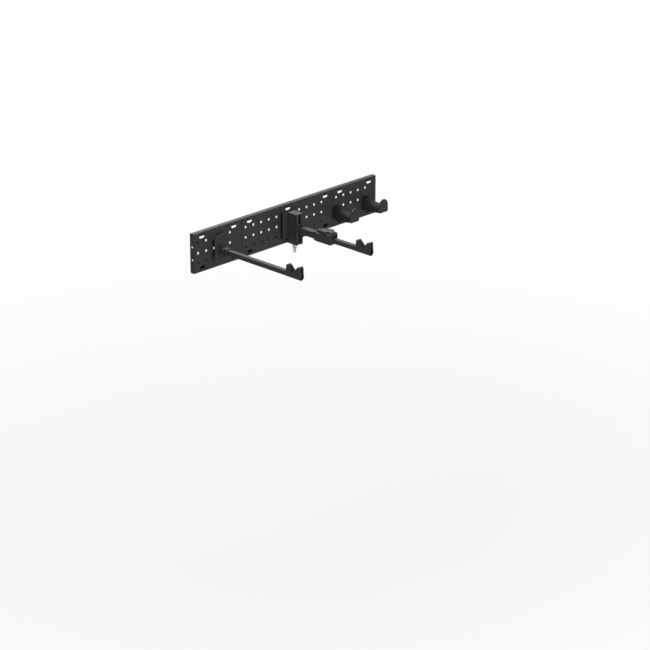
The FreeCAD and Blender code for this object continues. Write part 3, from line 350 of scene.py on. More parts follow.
def piece_from(name, shape, node, stands_for=True, slot=None, look=None):
    """Makes a piece that rides with a node's body.

    It takes the node's finish, or else another slot's or another look."""
    mesh = bpy.data.meshes.new(name)
    bmesh.ops.recalc_face_normals(shape, faces=shape.faces)
    if shape.calc_volume(signed=True) < 0:
        bmesh.ops.reverse_faces(shape, faces=shape.faces)
    shape.faces.index_update()
    normals = corner_normals(shape)
    shape.to_mesh(mesh)
    shape.free()
    mesh.polygons.foreach_set("use_smooth", [True] * len(mesh.polygons))
    mesh.set_sharp_from_angle(angle=SHARP)
    mesh.normals_split_custom_set(normals)
    slot = slot or SLOTS[node]
    mesh.materials.append(look or finish_of(slot))
    piece = bpy.data.objects.new(name, mesh)
    bpy.context.scene.collection.objects.link(piece)
    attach(piece, NODES[node]["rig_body"])
    if stands_for:
        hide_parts(node)
    return piece


def welded(node):
    """A node's mesh with its doubled points joined and its flat faces whole."""
    shape = bmesh.new()
    shape.from_mesh(NODES[node].data)
    bmesh.ops.remove_doubles(shape, verts=shape.verts, dist=JOIN)
    bmesh.ops.dissolve_limit(shape, angle_limit=FLAT, verts=shape.verts, edges=shape.edges)
    return shape


def bevel(shape, edges, size, steps):
    """Rounds some edges of a mesh."""
    bmesh.ops.bevel(shape, geom=edges, offset=size, segments=steps, profile=0.5,
                    affect="EDGES", offset_type="OFFSET", clamp_overlap=False)


def sharp_edges(shape):
    """The edges of a mesh that bend sharply."""
    return [each for each in shape.edges
            if len(each.link_faces) == 2 and each.calc_face_angle() > SHARP]


def soften(node, edge, steps=EDGE_STEPS, slot=None):
    """Shows a node with its sharp edges broken, as the real piece's are."""
    shape = welded(node)
    bevel(shape, sharp_edges(shape), edge, steps)
    piece_from("soft_" + node, shape, node, slot=slot)


# The rim of a panel's end lies this near to the panel's outline, which takes in the sheet's bends.
RIM_ZONE = 4.5 * MM


def folded(node):
    """Shows a panel with rounded rims at its ends, open seams beside them and broken cut edges."""
    low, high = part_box(node)
    shape = welded(node)
    gap = sizes().seam / 2
    for vert in shape.verts:
        if vert.co.x < low.x + TOUCH:
            vert.co.x += gap
        elif vert.co.x > high.x - TOUCH:
            vert.co.x -= gap

    def on_rim(edge):
        points = [vert.co for vert in edge.verts]
        at_end = any(all(abs(point.x - limit) < TOUCH for point in points)
                     for limit in (low.x + gap, high.x - gap))
        return at_end and all(min(point.y - low.y, high.y - point.y,
                                  point.z - low.z, high.z - point.z) < RIM_ZONE
                              for point in points)

    rim = [edge for edge in sharp_edges(shape) if on_rim(edge)]
    bevel(shape, rim, sizes().end_rim, RIM_STEPS)
    bevel(shape, sharp_edges(shape), sizes().sheet_edge, EDGE_STEPS)
    piece_from("soft_" + node, shape, node)


def solids_of(node):
    """The lowest and highest corners of a node's solids, in millimetres, from left to right."""
    shape = welded(node)
    left = set(shape.verts)
    boxes = []
    while left:
        island = [left.pop()]
        for vert in island:
            near = [edge.other_vert(vert) for edge in vert.link_edges]
            fresh = [other for other in near if other in left]
            left.difference_update(fresh)
            island.extend(fresh)
        low = [min(vert.co[axis] for vert in island) / MM for axis in range(3)]
        high = [max(vert.co[axis] for vert in island) / MM for axis in range(3)]
        boxes.append((Vector(low), Vector(high)))
    shape.free()
    return sorted(boxes, key=lambda box: tuple(box[0]))


def skin(shape, loops, closed=False):
    """Joins a row of equal loops with faces, and caps the ends or joins them."""
    rings = [[shape.verts.new(point) for point in loop] for loop in loops]
    pairs = list(zip(rings, rings[1:]))
    if closed:
        pairs.append((rings[-1], rings[0]))
    for first, second in pairs:
        for number in range(len(first)):
            following = (number + 1) % len(first)
            shape.faces.new((first[number], first[following], second[following], second[number]))
    if not closed:
        shape.faces.new(list(reversed(rings[0])))
        shape.faces.new(rings[-1])


def turned(shape, start, direction, steps, count=36, hollow=False):
    """A turned body: steps give the distance along its axis and the radius there, in millimetres.

    A radius may be a function of the angle, for a hexagon, a knurl or a thread. A hollow body's
    last step runs back to its first."""
    along = Vector(direction).normalized()
    across = along.orthogonal().normalized()
    beside = along.cross(across)
    angles = [2 * math.pi * number / count for number in range(count)]
    loops = []
    for distance, radius in steps:
        middle = Vector(start) + along * distance
        loop = []
        for angle in angles:
            size = radius(angle) if callable(radius) else radius
            outward = across * math.cos(angle) + beside * math.sin(angle)
            loop.append((middle + outward * size) * MM)
        loops.append(loop)
    skin(shape, loops, closed=hollow)


def hexagon(flats, limit=math.inf):
    """The radius of a hexagon at an angle, by its width across flats, cut round at a limit."""
    return lambda angle: min(limit, flats / 2 / math.cos(angle % (math.pi / 3) - math.pi / 6))


def rounded_rectangle(width, height, corner, count):
    """Points round a rectangle with rounded corners, about its middle."""
    points = []
    for quarter, (across, along) in enumerate(((1, 1), (-1, 1), (-1, -1), (1, -1))):
        for number in range(count + 1):
            angle = math.pi / 2 * (quarter + number / count)
            points.append((across * (width / 2 - corner) + corner * math.cos(angle),
                           along * (height / 2 - corner) + corner * math.sin(angle)))
    return points


# Steps round the top of an arch and round its lower corners, and the smallest of such corners
ARCH_STEPS = 32
ARCH_CORNER_STEPS = 5
ARCH_CORNER_LEAST = 0.3


def arch(width, bottom, top, corner, inset=0.0):
    """Points round an arch, half round above and with rounded corners below, less an inset."""
    half = width / 2 - inset
    spring = top - width / 2
    low = bottom + inset
    small = max(corner - inset, ARCH_CORNER_LEAST)
    points = []
    for number in range(ARCH_STEPS + 1):
        angle = math.pi * number / ARCH_STEPS
        points.append((half * math.cos(angle), spring + half * math.sin(angle)))
    for side, first in ((-1, math.pi), (1, 1.5 * math.pi)):
        for number in range(ARCH_CORNER_STEPS + 1):
            angle = first + math.pi / 2 * number / ARCH_CORNER_STEPS
            points.append((side * (half - small) + small * math.cos(angle),
                           low + small + small * math.sin(angle)))
    return points


# Fasteners

# Screws with a hexagon socket: the piece, the way its head faces, shank, head height, key and dome
SOCKET_SCREWS = {
    "panel_link_bolts": ("panel_link_screws", (-1, 0, 0), 6.0, 4.0, 4.0, 0.0),
    "left_socket_screws": ("left_socket_button_screws", (0, 0, -1), 6.0, 3.3, 4.0, 1.2),
    "left_cradle_screw": ("left_cradle_dome_screw", (0, -1, 0), 8.0, 6.0, 5.0, 4.0),
    "right_cradle_screw": ("right_cradle_dome_screw", (0, -1, 0), 8.0, 6.0, 5.0, 4.0),
    "arm_tube_screws": ("arm_tube_button_screws", (1, 0, 0), 5.0, 2.8, 3.0, 1.2),
    "lock_housing_screws": ("lock_housing_cap_screws", (1, 0, 0), 3.0, 3.0, 2.5, 0.0),
    "inner_hook_screws": ("inner_hook_button_screws", (0, 1, 0), 5.0, 3.2, 3.0, 1.0),
    "outer_hook_screws": ("outer_hook_button_screws", (0, 1, 0), 5.0, 3.2, 3.0, 1.0),
}

# Countersunk screws: the piece, the ways their heads face, shank, head and depth of the socket
# The rail's side screws are coated together with it, and the coat half fills their sockets.
FLAT_SCREWS = {
    "guide_rail_screws": ("guide_rail_flat_screws", ((0, -1, 0),), 5.0, 9.0, 1.8),
    "bearing_screws": ("bearing_flat_screws", ((-1, 0, 0), (1, 0, 0)), 4.0, 7.0, 0.5),
}

# Nuts: the piece, the axis, the width across flats and the bore
NUTS = {
    "panel_link_nuts": ("panel_link_hex_nuts", (1, 0, 0), 10.0, 6.1),
    "guide_rail_nuts": ("guide_rail_hex_nuts", (0, 1, 0), 8.0, 5.1),
}

# Screws: chamfers of the tip, edges of the head, the lead into a socket, a flat head's insets,
# and steps over and round a head
TIP_CHAMFER = 0.5
FLAT_TIP_CHAMFER = 0.4
HEAD_FOOT_EDGE = 0.2
HEAD_TOP_EDGE = 0.5
HEAD_TOP_EDGE_SHARE = 1 / 6
SOCKET_LEAD = 0.15
FLAT_RIM_INSET = 0.1
FLAT_TOP_INSET = 0.25
HEAD_STEPS = 5
SCREW_STEPS = 48

# Sockets: mouth by the key, depth by the head's height, and both key and mouth of a flat head
MOUTH_SHARE = 0.62
DEPTH_SHARE = 0.55
FLAT_KEY_SHARE = 0.55
FLAT_MOUTH_SHARE = 0.68

# Nuts by their width across flats and height: the end face, the cut corners, and their heights
NUT_FACE_SHARE = 0.475
NUT_CORNER_SHARE = 0.545
NUT_CHAMFER_SHARE = 0.12
NUT_FLATS_SHARE = 0.2


def fasteners_of(node, *directions):
    """The tip of each solid of a node, the way its head faces, its length and its width.

    The solids face these ways in turn, from left to right."""
    for (low, high), direction in zip(solids_of(node), itertools.cycle(directions)):
        along, size = Vector(direction), high - low
        whole = abs(size.dot(along))
        width = max(size[axis] for axis in range(3) if along[axis] == 0)
        yield (low + high) / 2 - along * (whole / 2), along, whole, width


def socket_head(shank, shank_length, head, height, key, dome):
    """Steps of a screw with a hexagon socket, from its tip to the floor of the socket."""
    edge = min(HEAD_TOP_EDGE, height * HEAD_TOP_EDGE_SHARE)
    rim = height - dome - edge
    mouth = key * MOUTH_SHARE
    steps = [(0.0, shank / 2 - TIP_CHAMFER), (TIP_CHAMFER, shank / 2), (shank_length, shank / 2),
             (shank_length, head / 2 - HEAD_FOOT_EDGE),
             (shank_length + HEAD_FOOT_EDGE, head / 2), (shank_length + rim, head / 2)]
    for number in range(1, HEAD_STEPS + 1):
        turn = number / HEAD_STEPS * math.pi / 2
        steps.append((shank_length + rim + (dome + edge) * math.sin(turn),
                      mouth + (head / 2 - mouth) * math.cos(turn)))
    top = shank_length + height
    return steps + [(top - SOCKET_LEAD, hexagon(key)), (top - height * DEPTH_SHARE, hexagon(key))]


def socket_screws(node):
    """The screws of a node, with their heads rounded and their sockets cut."""
    name, direction, shank, height, key, dome = SOCKET_SCREWS[node]
    shape = bmesh.new()
    for tip, along, whole, head in fasteners_of(node, direction):
        steps = socket_head(shank, whole - height, head, height, key, dome)
        turned(shape, tip, along, steps, SCREW_STEPS)
    piece_from(name, shape, node)


def flat_screws(node, slot=None):
    """The countersunk screws of a node, with a hexagon socket."""
    name, directions, shank, head, socket_depth = FLAT_SCREWS[node]
    cone = (head - shank) / 2
    key = shank * FLAT_KEY_SHARE
    shape = bmesh.new()
    for tip, along, whole, _ in fasteners_of(node, *directions):
        steps = [(0.0, shank / 2 - FLAT_TIP_CHAMFER), (FLAT_TIP_CHAMFER, shank / 2),
                 (whole - cone, shank / 2), (whole - SOCKET_LEAD, head / 2 - FLAT_RIM_INSET),
                 (whole, head / 2 - FLAT_TOP_INSET), (whole, key * FLAT_MOUTH_SHARE),
                 (whole - SOCKET_LEAD, hexagon(key)), (whole - socket_depth, hexagon(key))]
        turned(shape, tip, along, steps)
    piece_from(name, shape, node, slot=slot)


def hex_nuts(node):
    """The nuts of a node, with chamfered corners and open bores."""
    name, direction, flats, bore = NUTS[node]
    chamfer = hexagon(flats, flats * NUT_CORNER_SHARE)
    shape = bmesh.new()
    for start, along, height, _ in fasteners_of(node, direction):
        lower = [(0.0, bore / 2), (0.0, flats * NUT_FACE_SHARE),
                 (height * NUT_CHAMFER_SHARE, chamfer), (height * NUT_FLATS_SHARE, hexagon(flats))]
        upper = [(height - distance, radius) for distance, radius in reversed(lower)]
        turned(shape, start, along, lower + upper, hollow=True)
    piece_from(name, shape, node)


# Pieces

class MOUNT_OT_materials(bpy.types.Operator):
    """Makes the finishes of the mount"""

    bl_idname = "mount.materials"
    bl_label = "Finishes"

    def execute(self, context):
        for make in (*FINISHES.values(), drum_skin_with_painted_shade):
            make(context.scene.mount_colours)
        return {"FINISHED"}


class MOUNT_OT_panels(bpy.types.Operator):
    """Shows the three perforated panels, their links and the blanking plug"""

    bl_idname = "mount.panels"
    bl_label = "Panels"

    def execute(self, context):
        for node in ("panel_left", "panel_middle", "panel_right"):
            folded(node)
        soften("blanking_plug", sizes().screw_edge)
        socket_screws("panel_link_bolts")
        hex_nuts("panel_link_nuts")
        return {"FINISHED"}


# Rivets of the base plates: steps of a low dome, and the rivet's place below the top of its lug
RIVET_DOME = ((0.0, 5.2), (0.7, 5.2), (1.3, 4.7), (1.9, 3.6), (2.3, 2.2), (2.45, 0.6))
RIVET_FROM_LUG_TOP = 7.0
RIVET_STEPS = 28


def rivet_heads(name, plate, lugs):
    """Low domes of the rivets that hold a base plate's lugs."""
    face = box_of(plate)[0].y
    shape = bmesh.new()
    for low, high in solids_of(lugs):
        middle = Vector(((low.x + high.x) / 2, face, high.z - RIVET_FROM_LUG_TOP))
        turned(shape, middle, (0, -1, 0), RIVET_DOME, RIVET_STEPS)
    piece_from(name, shape, plate, stands_for=False)


class MOUNT_OT_base_plates(bpy.types.Operator):
    """Shows the arms' base plates, with their riveted lugs"""

    bl_idname = "mount.base_plates"
    bl_label = "Base plates"

    def execute(self, context):
        for side in ("left", "guide"):
            plate, lugs = side + "_base_plate", side + "_base_lugs"
            soften(plate, sizes().plate_edge)
            soften(lugs, sizes().screw_edge)
            rivet_heads(side + "_base_rivets", plate, lugs)
        return {"FINISHED"}


# The weld's path, by the bead's width where it is a share: how far out it runs, how far off the
# plate, its corners, the half width and half height of its section, and the ripples along it
WELD_OUT_SHARE = 0.6
WELD_OFF_SHARE = 0.25
WELD_CORNER = 4.0
WELD_CORNER_STEPS = 14
WELD_SECTION_STEPS = 10
WELD_WIDE_SHARE = 0.8
WELD_HIGH_SHARE = 0.55
WELD_RIPPLES = ((0.10, 2.1), (0.06, 5.3))


def weld_bead(name, node):
    """A fillet weld round a square foot, rippled as a hand weld is."""
    low, high = box_of(node)
    middle = (low + high) / 2
    bead = sizes().weld_bead / MM
    out = bead * WELD_OUT_SHARE
    path = rounded_rectangle(high.x - low.x + out, high.z - low.z + out,
                             WELD_CORNER, WELD_CORNER_STEPS)
    reach = PANEL_FACE - high.y + bead * WELD_OFF_SHARE
    loops = []
    for number, (across, up) in enumerate(path):
        following = Vector(path[(number + 1) % len(path)])
        tangent = (following - Vector(path[number - 1])).normalized()
        ripple = sum(share * math.sin(number * rate) for share, rate in WELD_RIPPLES)
        size = bead * (1.0 + ripple)
        loop = []
        for step in range(WELD_SECTION_STEPS):
            angle = 2 * math.pi * step / WELD_SECTION_STEPS
            side = size * WELD_WIDE_SHARE * math.cos(angle)
            loop.append(at(middle.x + across + tangent.y * side,
                           reach + size * WELD_HIGH_SHARE * math.sin(angle),
                           middle.z + up - tangent.x * side))
        loops.append(loop)
    shape = bmesh.new()
    skin(shape, loops, closed=True)
    piece_from(name, shape, node, stands_for=False)


class MOUNT_OT_left_arm(bpy.types.Operator):
    """Shows the fixed arm's socket, screws and bar"""

    bl_idname = "mount.left_arm"
    bl_label = "Left arm"

    def execute(self, context):
        soften("left_socket", sizes().plate_edge)
        weld_bead("left_socket_weld", "left_socket")
        socket_screws("left_socket_screws")
        soften("left_bar", sizes().screw_edge)
        return {"FINISHED"}


# The V of the cradles, by the point where its slopes would meet
VEE_REACH = 374.0
VEE_HEIGHT = 0.0
VEE_RADIUS = 7.0
BACK_SLOPE = math.radians(46.5)
FRONT_SLOPE = math.radians(48.0)
PAD_THICKNESS = 3.0
PAD_BACK_TOP = 21.5
PAD_FRONT_TOP = 24.0
SLOPE_STEPS = 44
FOOT_STEPS = 12

# Pads: rounding at the ends, the share of the thickness left there, how far in from a side the
# face drops and by how much, and how narrow the grooves between the ribs are
PAD_END_ROUND = 1.2
PAD_END_SHARE = 0.55
PAD_SIDES = ((0.0, 1.0), (0.5, 0.3), (1.3, 0.0))
GROOVE_POWER = 3


def vee_path():
    """Points along the V's floor, from back to front, each with its way up and the run so far."""
    foot = Vector((VEE_REACH, VEE_HEIGHT))
    back = Vector((-math.cos(BACK_SLOPE), math.sin(BACK_SLOPE)))
    front = Vector((math.cos(FRONT_SLOPE), math.sin(FRONT_SLOPE)))
    back_up = Vector((math.sin(BACK_SLOPE), math.cos(BACK_SLOPE)))
    front_up = Vector((-math.sin(FRONT_SLOPE), math.cos(FRONT_SLOPE)))
    half = math.acos(back.dot(front)) / 2
    tangent = VEE_RADIUS / math.tan(half)
    centre = foot + (back + front).normalized() * (VEE_RADIUS / math.sin(half))
    back_length = (PAD_BACK_TOP - VEE_HEIGHT) / math.sin(BACK_SLOPE) - tangent
    front_length = (PAD_FRONT_TOP - VEE_HEIGHT) / math.sin(FRONT_SLOPE) - tangent
    bend = VEE_RADIUS * (math.pi - 2 * half)
    path = []
    for number in range(SLOPE_STEPS + 1):
        run = back_length * number / SLOPE_STEPS
        path.append((foot + back * (tangent + back_length - run), back_up, run))
    for number in range(1, FOOT_STEPS):
        share = number / FOOT_STEPS
        up = (back_up * (1 - share) + front_up * share).normalized()
        path.append((centre - up * VEE_RADIUS, up, back_length + share * bend))
    for number in range(SLOPE_STEPS + 1):
        run = front_length * number / SLOPE_STEPS
        path.append((foot + front * (tangent + run), front_up, back_length + bend + run))
    return path


def ribbed_pad(name, node):
    """A rubber lining with ribs across the V, thinner at its sides and ends."""
    middle, half = span_of(node)
    path = vee_path()
    total = path[-1][2]
    height = sizes().rib_height / MM
    ribs = round(total * MM / sizes().rib_spacing)
    sections = [(inset - half, drop) for inset, drop in PAD_SIDES]
    sections += [(half - inset, drop) for inset, drop in reversed(PAD_SIDES)]
    loops = []
    for across, drop in sections:
        floor = [at(middle + across, point.x, point.y) for point, up, run in path]
        top = []
        for point, up, run in reversed(path):
            groove = (0.5 + 0.5 * math.cos(2 * math.pi * ribs * run / total)) ** GROOVE_POWER
            end = max(0.0, min(1.0, min(run, total - run) / PAD_END_ROUND))
            full = PAD_END_SHARE + (1 - PAD_END_SHARE) * math.sqrt(end)
            raised = point + up * (PAD_THICKNESS - height * groove - drop) * full
            top.append(at(middle + across, raised.x, raised.y))
        loops.append(floor + top)
    shape = bmesh.new()
    skin(shape, loops)
    pad = piece_from(name, shape, node)


class MOUNT_OT_cradles(bpy.types.Operator):
    """Shows the two V cradles with their pads, journals, washers and domed screws"""

    bl_idname = "mount.cradles"
    bl_label = "Cradles"

    def execute(self, context):
        for side in ("left", "right"):
            soften(side + "_cradle", sizes().mould_edge, MOULD_STEPS)
            soften(side + "_bar_end", sizes().screw_edge, slot="blackened_screws")
            soften(side + "_cradle_washer", sizes().screw_edge)
            socket_screws(side + "_cradle_screw")
            ribbed_pad(side + "_cradle_ribbed_pad", side + "_cradle_pad")
        return {"FINISHED"}


class MOUNT_OT_guide(bpy.types.Operator):
    """Shows the upright guide rail with its fixings and the bearing at its foot"""

    bl_idname = "mount.guide"
    bl_label = "Guide rail"

    def execute(self, context):
        soften("guide_rail", sizes().plate_edge)
        soften("spindle_bearing", sizes().screw_edge)
        flat_screws("guide_rail_screws")
        hex_nuts("guide_rail_nuts")
        flat_screws("bearing_screws", slot=SLOTS["guide_rail"])
        return {"FINISHED"}


# Spindle: the rod and its hexagon end, whose tip is chamfered and whose shoulder is broken
SPINDLE_RADIUS = 6.0
SPINDLE_HEX = 10.0
SPINDLE_HEX_LENGTH = 10.0
SPINDLE_TIP_RADIUS = 4.2
SPINDLE_TIP_CHAMFER = 0.8
SPINDLE_SHOULDER = 0.4
SPINDLE_STEPS = 40

# Its thread, by shares of the lead: half the root and one flank; then the plain length at each
# end, the run-out and the chamfer of the top
THREAD_ROOT_SHARE = 0.17
THREAD_FLANK_SHARE = 0.12
THREAD_FROM_END = 1.0
THREAD_RUN_OUT = 0.2
THREAD_TOP_CHAMFER = 0.6
RINGS_PER_TURN = 10

# Its collar: play on the rod, the knurl's depth and place, and a step and a groove above it, as
# distances from the foot or from the top with insets from the outer radius
COLLAR_PLAY = 0.05
KNURL_DEPTH = 0.35
KNURL_ABOVE_FOOT = 1.6
KNURL_BELOW_TOP = 5.2
KNURL_STEPS_PER_TOOTH = 6
COLLAR_FOOT = ((0.0, 1.4), (1.0, 0.7))
COLLAR_TOP = ((4.8, 1.0), (4.2, 1.0), (3.8, 0.2), (0.5, 0.2), (0.0, 0.7))


class MOUNT_OT_spindle(bpy.types.Operator):
    """Shows the height spindle with its thread, its knurled collar and its retaining ring"""

    bl_idname = "mount.spindle"
    bl_label = "Height spindle"

    def execute(self, context):
        self.threaded_rod()
        self.knurled_collar()
        soften("spindle_retainer", sizes().screw_edge)
        return {"FINISHED"}

    def threaded_rod(self):
        low, high = box_of("height_spindle")
        middle = (low + high) / 2
        lead, depth = sizes().thread_lead / MM, sizes().thread_depth / MM
        start = box_of("spindle_retainer")[1].z - low.z + THREAD_FROM_END
        end = high.z - low.z - THREAD_FROM_END

        def thread(height):
            def radius(angle):
                phase = (height / lead - angle / (2 * math.pi)) % 1.0
                climb = (abs(phase - 0.5) - THREAD_ROOT_SHARE) / THREAD_FLANK_SHARE
                flank = min(1.0, max(0.0, climb))
                return SPINDLE_RADIUS - depth * (1.0 - flank)
            return radius

        flats = hexagon(SPINDLE_HEX)
        steps = [(0.0, SPINDLE_TIP_RADIUS), (SPINDLE_TIP_CHAMFER, flats),
                 (SPINDLE_HEX_LENGTH, flats),
                 (SPINDLE_HEX_LENGTH, SPINDLE_RADIUS - SPINDLE_SHOULDER),
                 (SPINDLE_HEX_LENGTH + SPINDLE_SHOULDER, SPINDLE_RADIUS), (start, SPINDLE_RADIUS)]
        rings = int((end - start) / lead * RINGS_PER_TURN)
        for number in range(1, rings + 1):
            height = start + (end - start) * number / rings
            steps.append((height, thread(height)))
        root = SPINDLE_RADIUS - depth
        steps += [(end + THREAD_RUN_OUT, root), (end + THREAD_FROM_END, root - THREAD_TOP_CHAMFER)]
        shape = bmesh.new()
        turned(shape, (middle.x, middle.y, low.z), (0, 0, 1), steps, SPINDLE_STEPS)
        piece_from("threaded_spindle", shape, "height_spindle")

    def knurled_collar(self):
        low, high = box_of("spindle_collar")
        middle = (low + high) / 2
        outer, tall = (high.x - low.x) / 2, high.z - low.z
        teeth = sizes().knurl_teeth
        bore = SPINDLE_RADIUS + COLLAR_PLAY

        def knurl(angle):
            return outer - KNURL_DEPTH + KNURL_DEPTH * math.cos(angle * teeth)

        steps = [(0.0, bore)] + [(up, outer - inset) for up, inset in COLLAR_FOOT]
        steps += [(KNURL_ABOVE_FOOT, knurl), (tall - KNURL_BELOW_TOP, knurl)]
        steps += [(tall - down, outer - inset) for down, inset in COLLAR_TOP] + [(tall, bore)]
        shape = bmesh.new()
        turned(shape, (middle.x, middle.y, low.z), (0, 0, 1), steps,
               teeth * KNURL_STEPS_PER_TOOTH, hollow=True)
        piece_from("knurled_collar", shape, "spindle_collar")


# Blind holes in both sides of the carriage, which face those of the rail at rest
CROSS_HOLE_RADIUS = 4.7
CROSS_HOLE_REACH = 43.0
CROSS_HOLE_HEIGHT = -23.0
CROSS_HOLE_FLOOR = 6.1

# Dark cups in those holes, put there as painted shade inside them: the broken edge, the wall,
# the rim below the hole's mouth, the thickness of the floor at its middle and at its edge, and
# the radius where the floor's rings end
CUP_EDGE = 0.2
CUP_WALL = 0.6
CUP_RIM = 0.4
CUP_FLOOR = 0.5
CUP_FLOOR_EDGE = 0.8
CUP_MIDDLE = 0.4


def cross_hole_bushes(name, node):
    """Dark cups that line the cross holes of the carriage, as painted shade inside them."""
    middle, half = span_of(node)
    depth = half - CROSS_HOLE_FLOOR
    outer, inner = CROSS_HOLE_RADIUS, CROSS_HOLE_RADIUS - CUP_WALL
    steps = [(0.0, CUP_MIDDLE), (0.0, outer - CUP_EDGE), (CUP_EDGE, outer),
             (depth - CUP_RIM, outer), (depth - CUP_EDGE, (outer + inner) / 2),
             (depth - CUP_RIM, inner), (CUP_FLOOR_EDGE, inner), (CUP_FLOOR, CUP_MIDDLE)]
    shape = bmesh.new()
    for side in (-1, 1):
        start = at(middle + side * CROSS_HOLE_FLOOR, CROSS_HOLE_REACH, CROSS_HOLE_HEIGHT) / MM
        turned(shape, start, (side, 0, 0), steps)
    piece_from(name, shape, node, stands_for=False, slot="pad_rubber")


class MOUNT_OT_carriage(bpy.types.Operator):
    """Shows the carriage, its liners and the outer tube of the right arm"""

    bl_idname = "mount.carriage"
    bl_label = "Carriage and tube"

    def execute(self, context):
        soften("carriage", sizes().plate_edge)
        # Dark cups in the cross holes stand in for the shade inside them
        cross_hole_bushes("carriage_hole_shade_cups", "carriage")
        soften("carriage_liners", sizes().screw_edge)
        soften("arm_tube", sizes().screw_edge)
        socket_screws("arm_tube_screws")
        return {"FINISHED"}


# The slope of the lever's top from its free end, and the thumb ridges across that end
LEVER_TIP_TOP = 15.7
LEVER_CLIMB = 6.5 / 46.0
RIDGES = 5
RIDGE_SPACING = 3.6
FIRST_RIDGE = 4.5
RIDGE_RADIUS = 0.75
RIDGE_SINK = RIDGE_RADIUS / 3
RIDGE_TIP_HALF = 5.0
RIDGE_WIDENING = 0.2
RIDGE_SECTIONS = (-1.0, -0.92, -0.7, 0.0, 0.7, 0.92, 1.0)
RIDGE_STEPS = 12

# Ends of a ridge: how late it thins, and the least square of its share
RIDGE_END_POWER = 6
RIDGE_END_LEAST = 0.06


def lever_grip(name, node):
    """Raised ridges across the free end of the lever, where a thumb lifts it."""
    middle = span_of(node)[0]
    tip = PANEL_FACE - box_of(node)[1].y
    angles = [2 * math.pi * step / RIDGE_STEPS for step in range(RIDGE_STEPS)]
    shape = bmesh.new()
    for number in range(RIDGES):
        along = FIRST_RIDGE + RIDGE_SPACING * number
        half = RIDGE_TIP_HALF + RIDGE_WIDENING * along
        level = LEVER_TIP_TOP + LEVER_CLIMB * along - RIDGE_SINK
        loops = []
        for share in RIDGE_SECTIONS:
            size = RIDGE_RADIUS * math.sqrt(max(1.0 - share ** RIDGE_END_POWER, RIDGE_END_LEAST))
            loops.append([at(middle + half * share, tip + along + size * math.cos(angle),
                             level + size * math.sin(angle)) for angle in angles])
        skin(shape, loops)
    piece_from(name, shape, node, stands_for=False)


class MOUNT_OT_lock(bpy.types.Operator):
    """Shows the clamp housing, its cam lever, pin, screws and front bush"""

    bl_idname = "mount.lock"
    bl_label = "Clamp and lever"

    def execute(self, context):
        soften("lock_housing_left", sizes().mould_edge, MOULD_STEPS)
        soften("lock_housing_right", sizes().mould_edge, MOULD_STEPS)
        socket_screws("lock_housing_screws")
        soften("slide_bush_front", sizes().screw_edge)
        soften("lever_pin", sizes().plate_edge, slot="blackened_screws")
        soften("lock_lever", sizes().mould_edge, MOULD_STEPS)
        lever_grip("lever_grip_ridges", "lock_lever")
        return {"FINISHED"}


class MOUNT_OT_sliding_bar(bpy.types.Operator):
    """Shows the sliding bar and the bush on its inner end"""

    bl_idname = "mount.sliding_bar"
    bl_label = "Sliding bar"

    def execute(self, context):
        soften("right_bar", sizes().screw_edge)
        soften("slide_bush_rear", sizes().screw_edge)
        return {"FINISHED"}


# Drum hooks: reach, width, bottom and top at the level root, the waist and the end plate
DRUM_ROOT = (14.0, 40.0, -42.0, 7.5)
DRUM_WAIST = (64.0, 36.0, -39.5, -5.5)
DRUM_END = (89.0, 40.0, -33.0, 4.5)
DRUM_CORNER = 4.0
DRUM_SECTIONS = 28

# Softened edge of the root, as reach and inset
DRUM_ROOT_EDGE = ((0.0, 0.6), (0.2, 0.2), (0.6, 0.0))

# End plates: width, bottom, top and corner, the thickness, and the rims as distances from the back
# or the front face and insets
PLATE_ARCH = (46.0, -35.5, 15.0, 5.0)
PLATE_THICKNESS = 5.0
PLATE_BACK_RIM = ((0.0, 5.5), (0.0, 1.0), (0.3, 0.3), (1.0, 0.0))
PLATE_FRONT_RIM = ((1.6, 0.0), (0.9, 0.25), (0.3, 0.8), (0.0, 1.7),
                   (0.0, 3.0), (0.2, 3.5), (0.7, 4.1), (0.8, 4.8))


def drum_section(reach):
    """Width, bottom and top of a drum at a reach: it falls from its root and rises to its end."""
    if reach <= DRUM_WAIST[0]:
        share = max(0.0, (reach - DRUM_ROOT[0]) / (DRUM_WAIST[0] - DRUM_ROOT[0]))
        first, second, eased = DRUM_ROOT, DRUM_WAIST, math.sin(share * math.pi / 2)
    else:
        share = (reach - DRUM_WAIST[0]) / (DRUM_END[0] - DRUM_WAIST[0])
        first, second, eased = DRUM_WAIST, DRUM_END, 1 - math.cos(share * math.pi / 2)
    return [a + (b - a) * eased for a, b in zip(first[1:], second[1:])]


def arched(name, node, sections, look=None):
    """A piece through a row of arches: each section gives its reach and then the arch."""
    middle = span_of(node)[0]
    shape = bmesh.new()
    skin(shape, [[at(middle + x, reach, z) for x, z in arch(*outline)]
                 for reach, *outline in sections])
    piece_from(name, shape, node, look=look)


def drum(name, node):
    """A moulded drum of arched section with a waist, and a softened edge at its root."""
    span = DRUM_END[0] - DRUM_ROOT[0]
    reaches = list(DRUM_ROOT_EDGE)
    for number in range(DRUM_SECTIONS + 1):
        reaches.append((DRUM_ROOT[0] + span * number / DRUM_SECTIONS, 0.0))
    sections = [(reach, *drum_section(reach), DRUM_CORNER, inset) for reach, inset in reaches]
    # The drum's skin colour is partly painted shade on the drums
    arched(name, node, sections, look=MATERIALS["drum_skin_with_painted_shade"])


def drum_end_plate(name, node):
    """The drum's end plate, with a rounded rim round a slightly sunk face."""
    back, front = DRUM_END[0], DRUM_END[0] + PLATE_THICKNESS
    sections = [(back + off, *PLATE_ARCH, inset) for off, inset in PLATE_BACK_RIM]
    sections += [(front - off, *PLATE_ARCH, inset) for off, inset in PLATE_FRONT_RIM]
    arched(name, node, sections)


